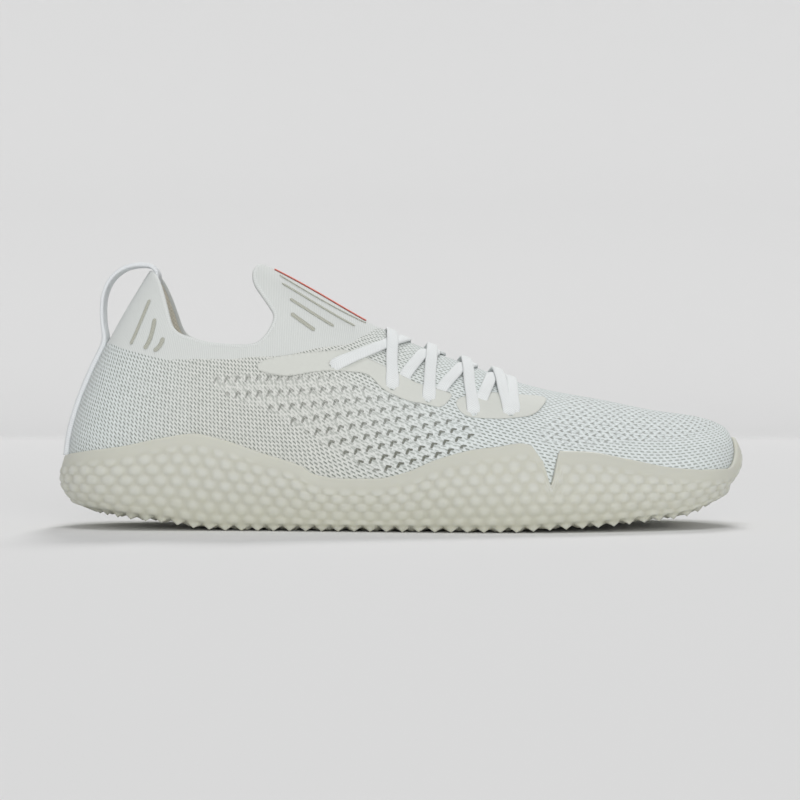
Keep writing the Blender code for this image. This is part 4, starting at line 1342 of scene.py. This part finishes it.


# %% Every piece gets its finish and its body
COATS = {
    "knit_upper": (KNIT, "knit"), "collar_edge": (EDGE, "knit"), "tab_slots": (SLOT, "knit"),
    "tongue_slots": (SLOT, "knit"), "tongue_stripe": (STRIPE, "knit"), "lace": (LACE, "lace"),
    "heel_webbing": (WEBBING, "webbing"), "rubber_cup": (RUBBER, "rubber"), "footbed": (BED, "lining"),
}
for name, piece in PIECES.items():
    finish, slot = COATS.get(name, (FILM, "film"))
    piece.data.materials.append(finish)
    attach(piece, "root")
upper.data.materials.append(LINING)

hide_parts("upper")
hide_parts("outsole")
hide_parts("insole")
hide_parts("laces")
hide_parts("pull_loop")
for node, film in films.items():
    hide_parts(node)

# %% [markdown]
# ## Floor, light and camera
#
# The shoe stands on a pale sheet that curves up behind it, so no line shows where floor meets
# wall. The sheet is a little lighter where less light reaches it, at the start of the curve. Soft
# light comes from the front, low, from above and from behind, which puts the shade in front of
# the sole. The camera looks level at the outer side.

# %% Floor
SHEET_WIDTH = 12.0
SHEET_LENGTH = 6.0
SHEET_FRONT = -2.5
CURVE_START = 2.2
CURVE_RADIUS = 0.8


def build_floor():
    """A pale sheet that lies flat, then curves up behind."""

    def place(across, along):
        run = along * SHEET_LENGTH + SHEET_FRONT
        turn = np.clip((run - CURVE_START) / CURVE_RADIUS, 0.0, np.pi / 2)
        y = np.minimum(run, CURVE_START) + CURVE_RADIUS * np.sin(turn)
        beyond = np.maximum(run - CURVE_START - CURVE_RADIUS * np.pi / 2, 0.0)
        z = CURVE_RADIUS * (1 - np.cos(turn)) + beyond
        return np.stack([(across - 0.5) * SHEET_WIDTH, y, z], axis=1)

    floor = finish_piece("floor", bent_grid(8, 240, place), turn=False)
    PIECES.pop("floor")
    paper = Finish("paper", Roughness=0.95)
    y, z = paper.coordinates("Y", "Z")
    graded = paper.mix((z * 2.5).most(0.0).least(1.0).root(), paint(244, 244, 244), paint(220, 220, 220))
    paper.into("Base Color", paper.mix(paper.step(1.95, 2.3, y), paint(226, 226, 226), graded))
    floor.data.materials.append(paper.material)


build_floor()


# %% Light
def soft_light(name, heading, elevation, softness, strength):
    """A far soft lamp, at a heading from the camera's side and a height, both in degrees."""
    light = bpy.data.lights.new(name, "SUN")
    light.energy = strength
    light.angle = math.radians(softness)
    lamp = add_object(name, light)
    lamp.rotation_euler = (math.radians(90 - elevation), 0.0, math.radians(heading))


soft_light("front", 8.0, 9.0, 40.0, 1.62)
soft_light("behind", 172.0, 43.0, 14.0, 1.1)
soft_light("above", 0.0, 84.0, 30.0, 0.85)
world = bpy.data.worlds.new("room")
world.use_nodes = True
sky = world.node_tree.nodes["Background"].inputs
sky["Color"].default_value = (1.0, 1.0, 1.0, 1.0)
sky["Strength"].default_value = 0.297
bpy.context.scene.world = world
bpy.context.scene.view_settings.view_transform = "Standard"


# %% Camera
# Places are in metres, the lens and its sensor in millimetres.
view = bpy.data.cameras.new("camera")
view.sensor_width = 36.0
view.lens = 95.63
camera = add_object("camera", view)
camera.location = (0.144 - ORIGIN[0], -0.9, 0.0532)
camera.rotation_euler = (math.pi / 2, 0.0, 0.0)
bpy.context.scene.camera = camera
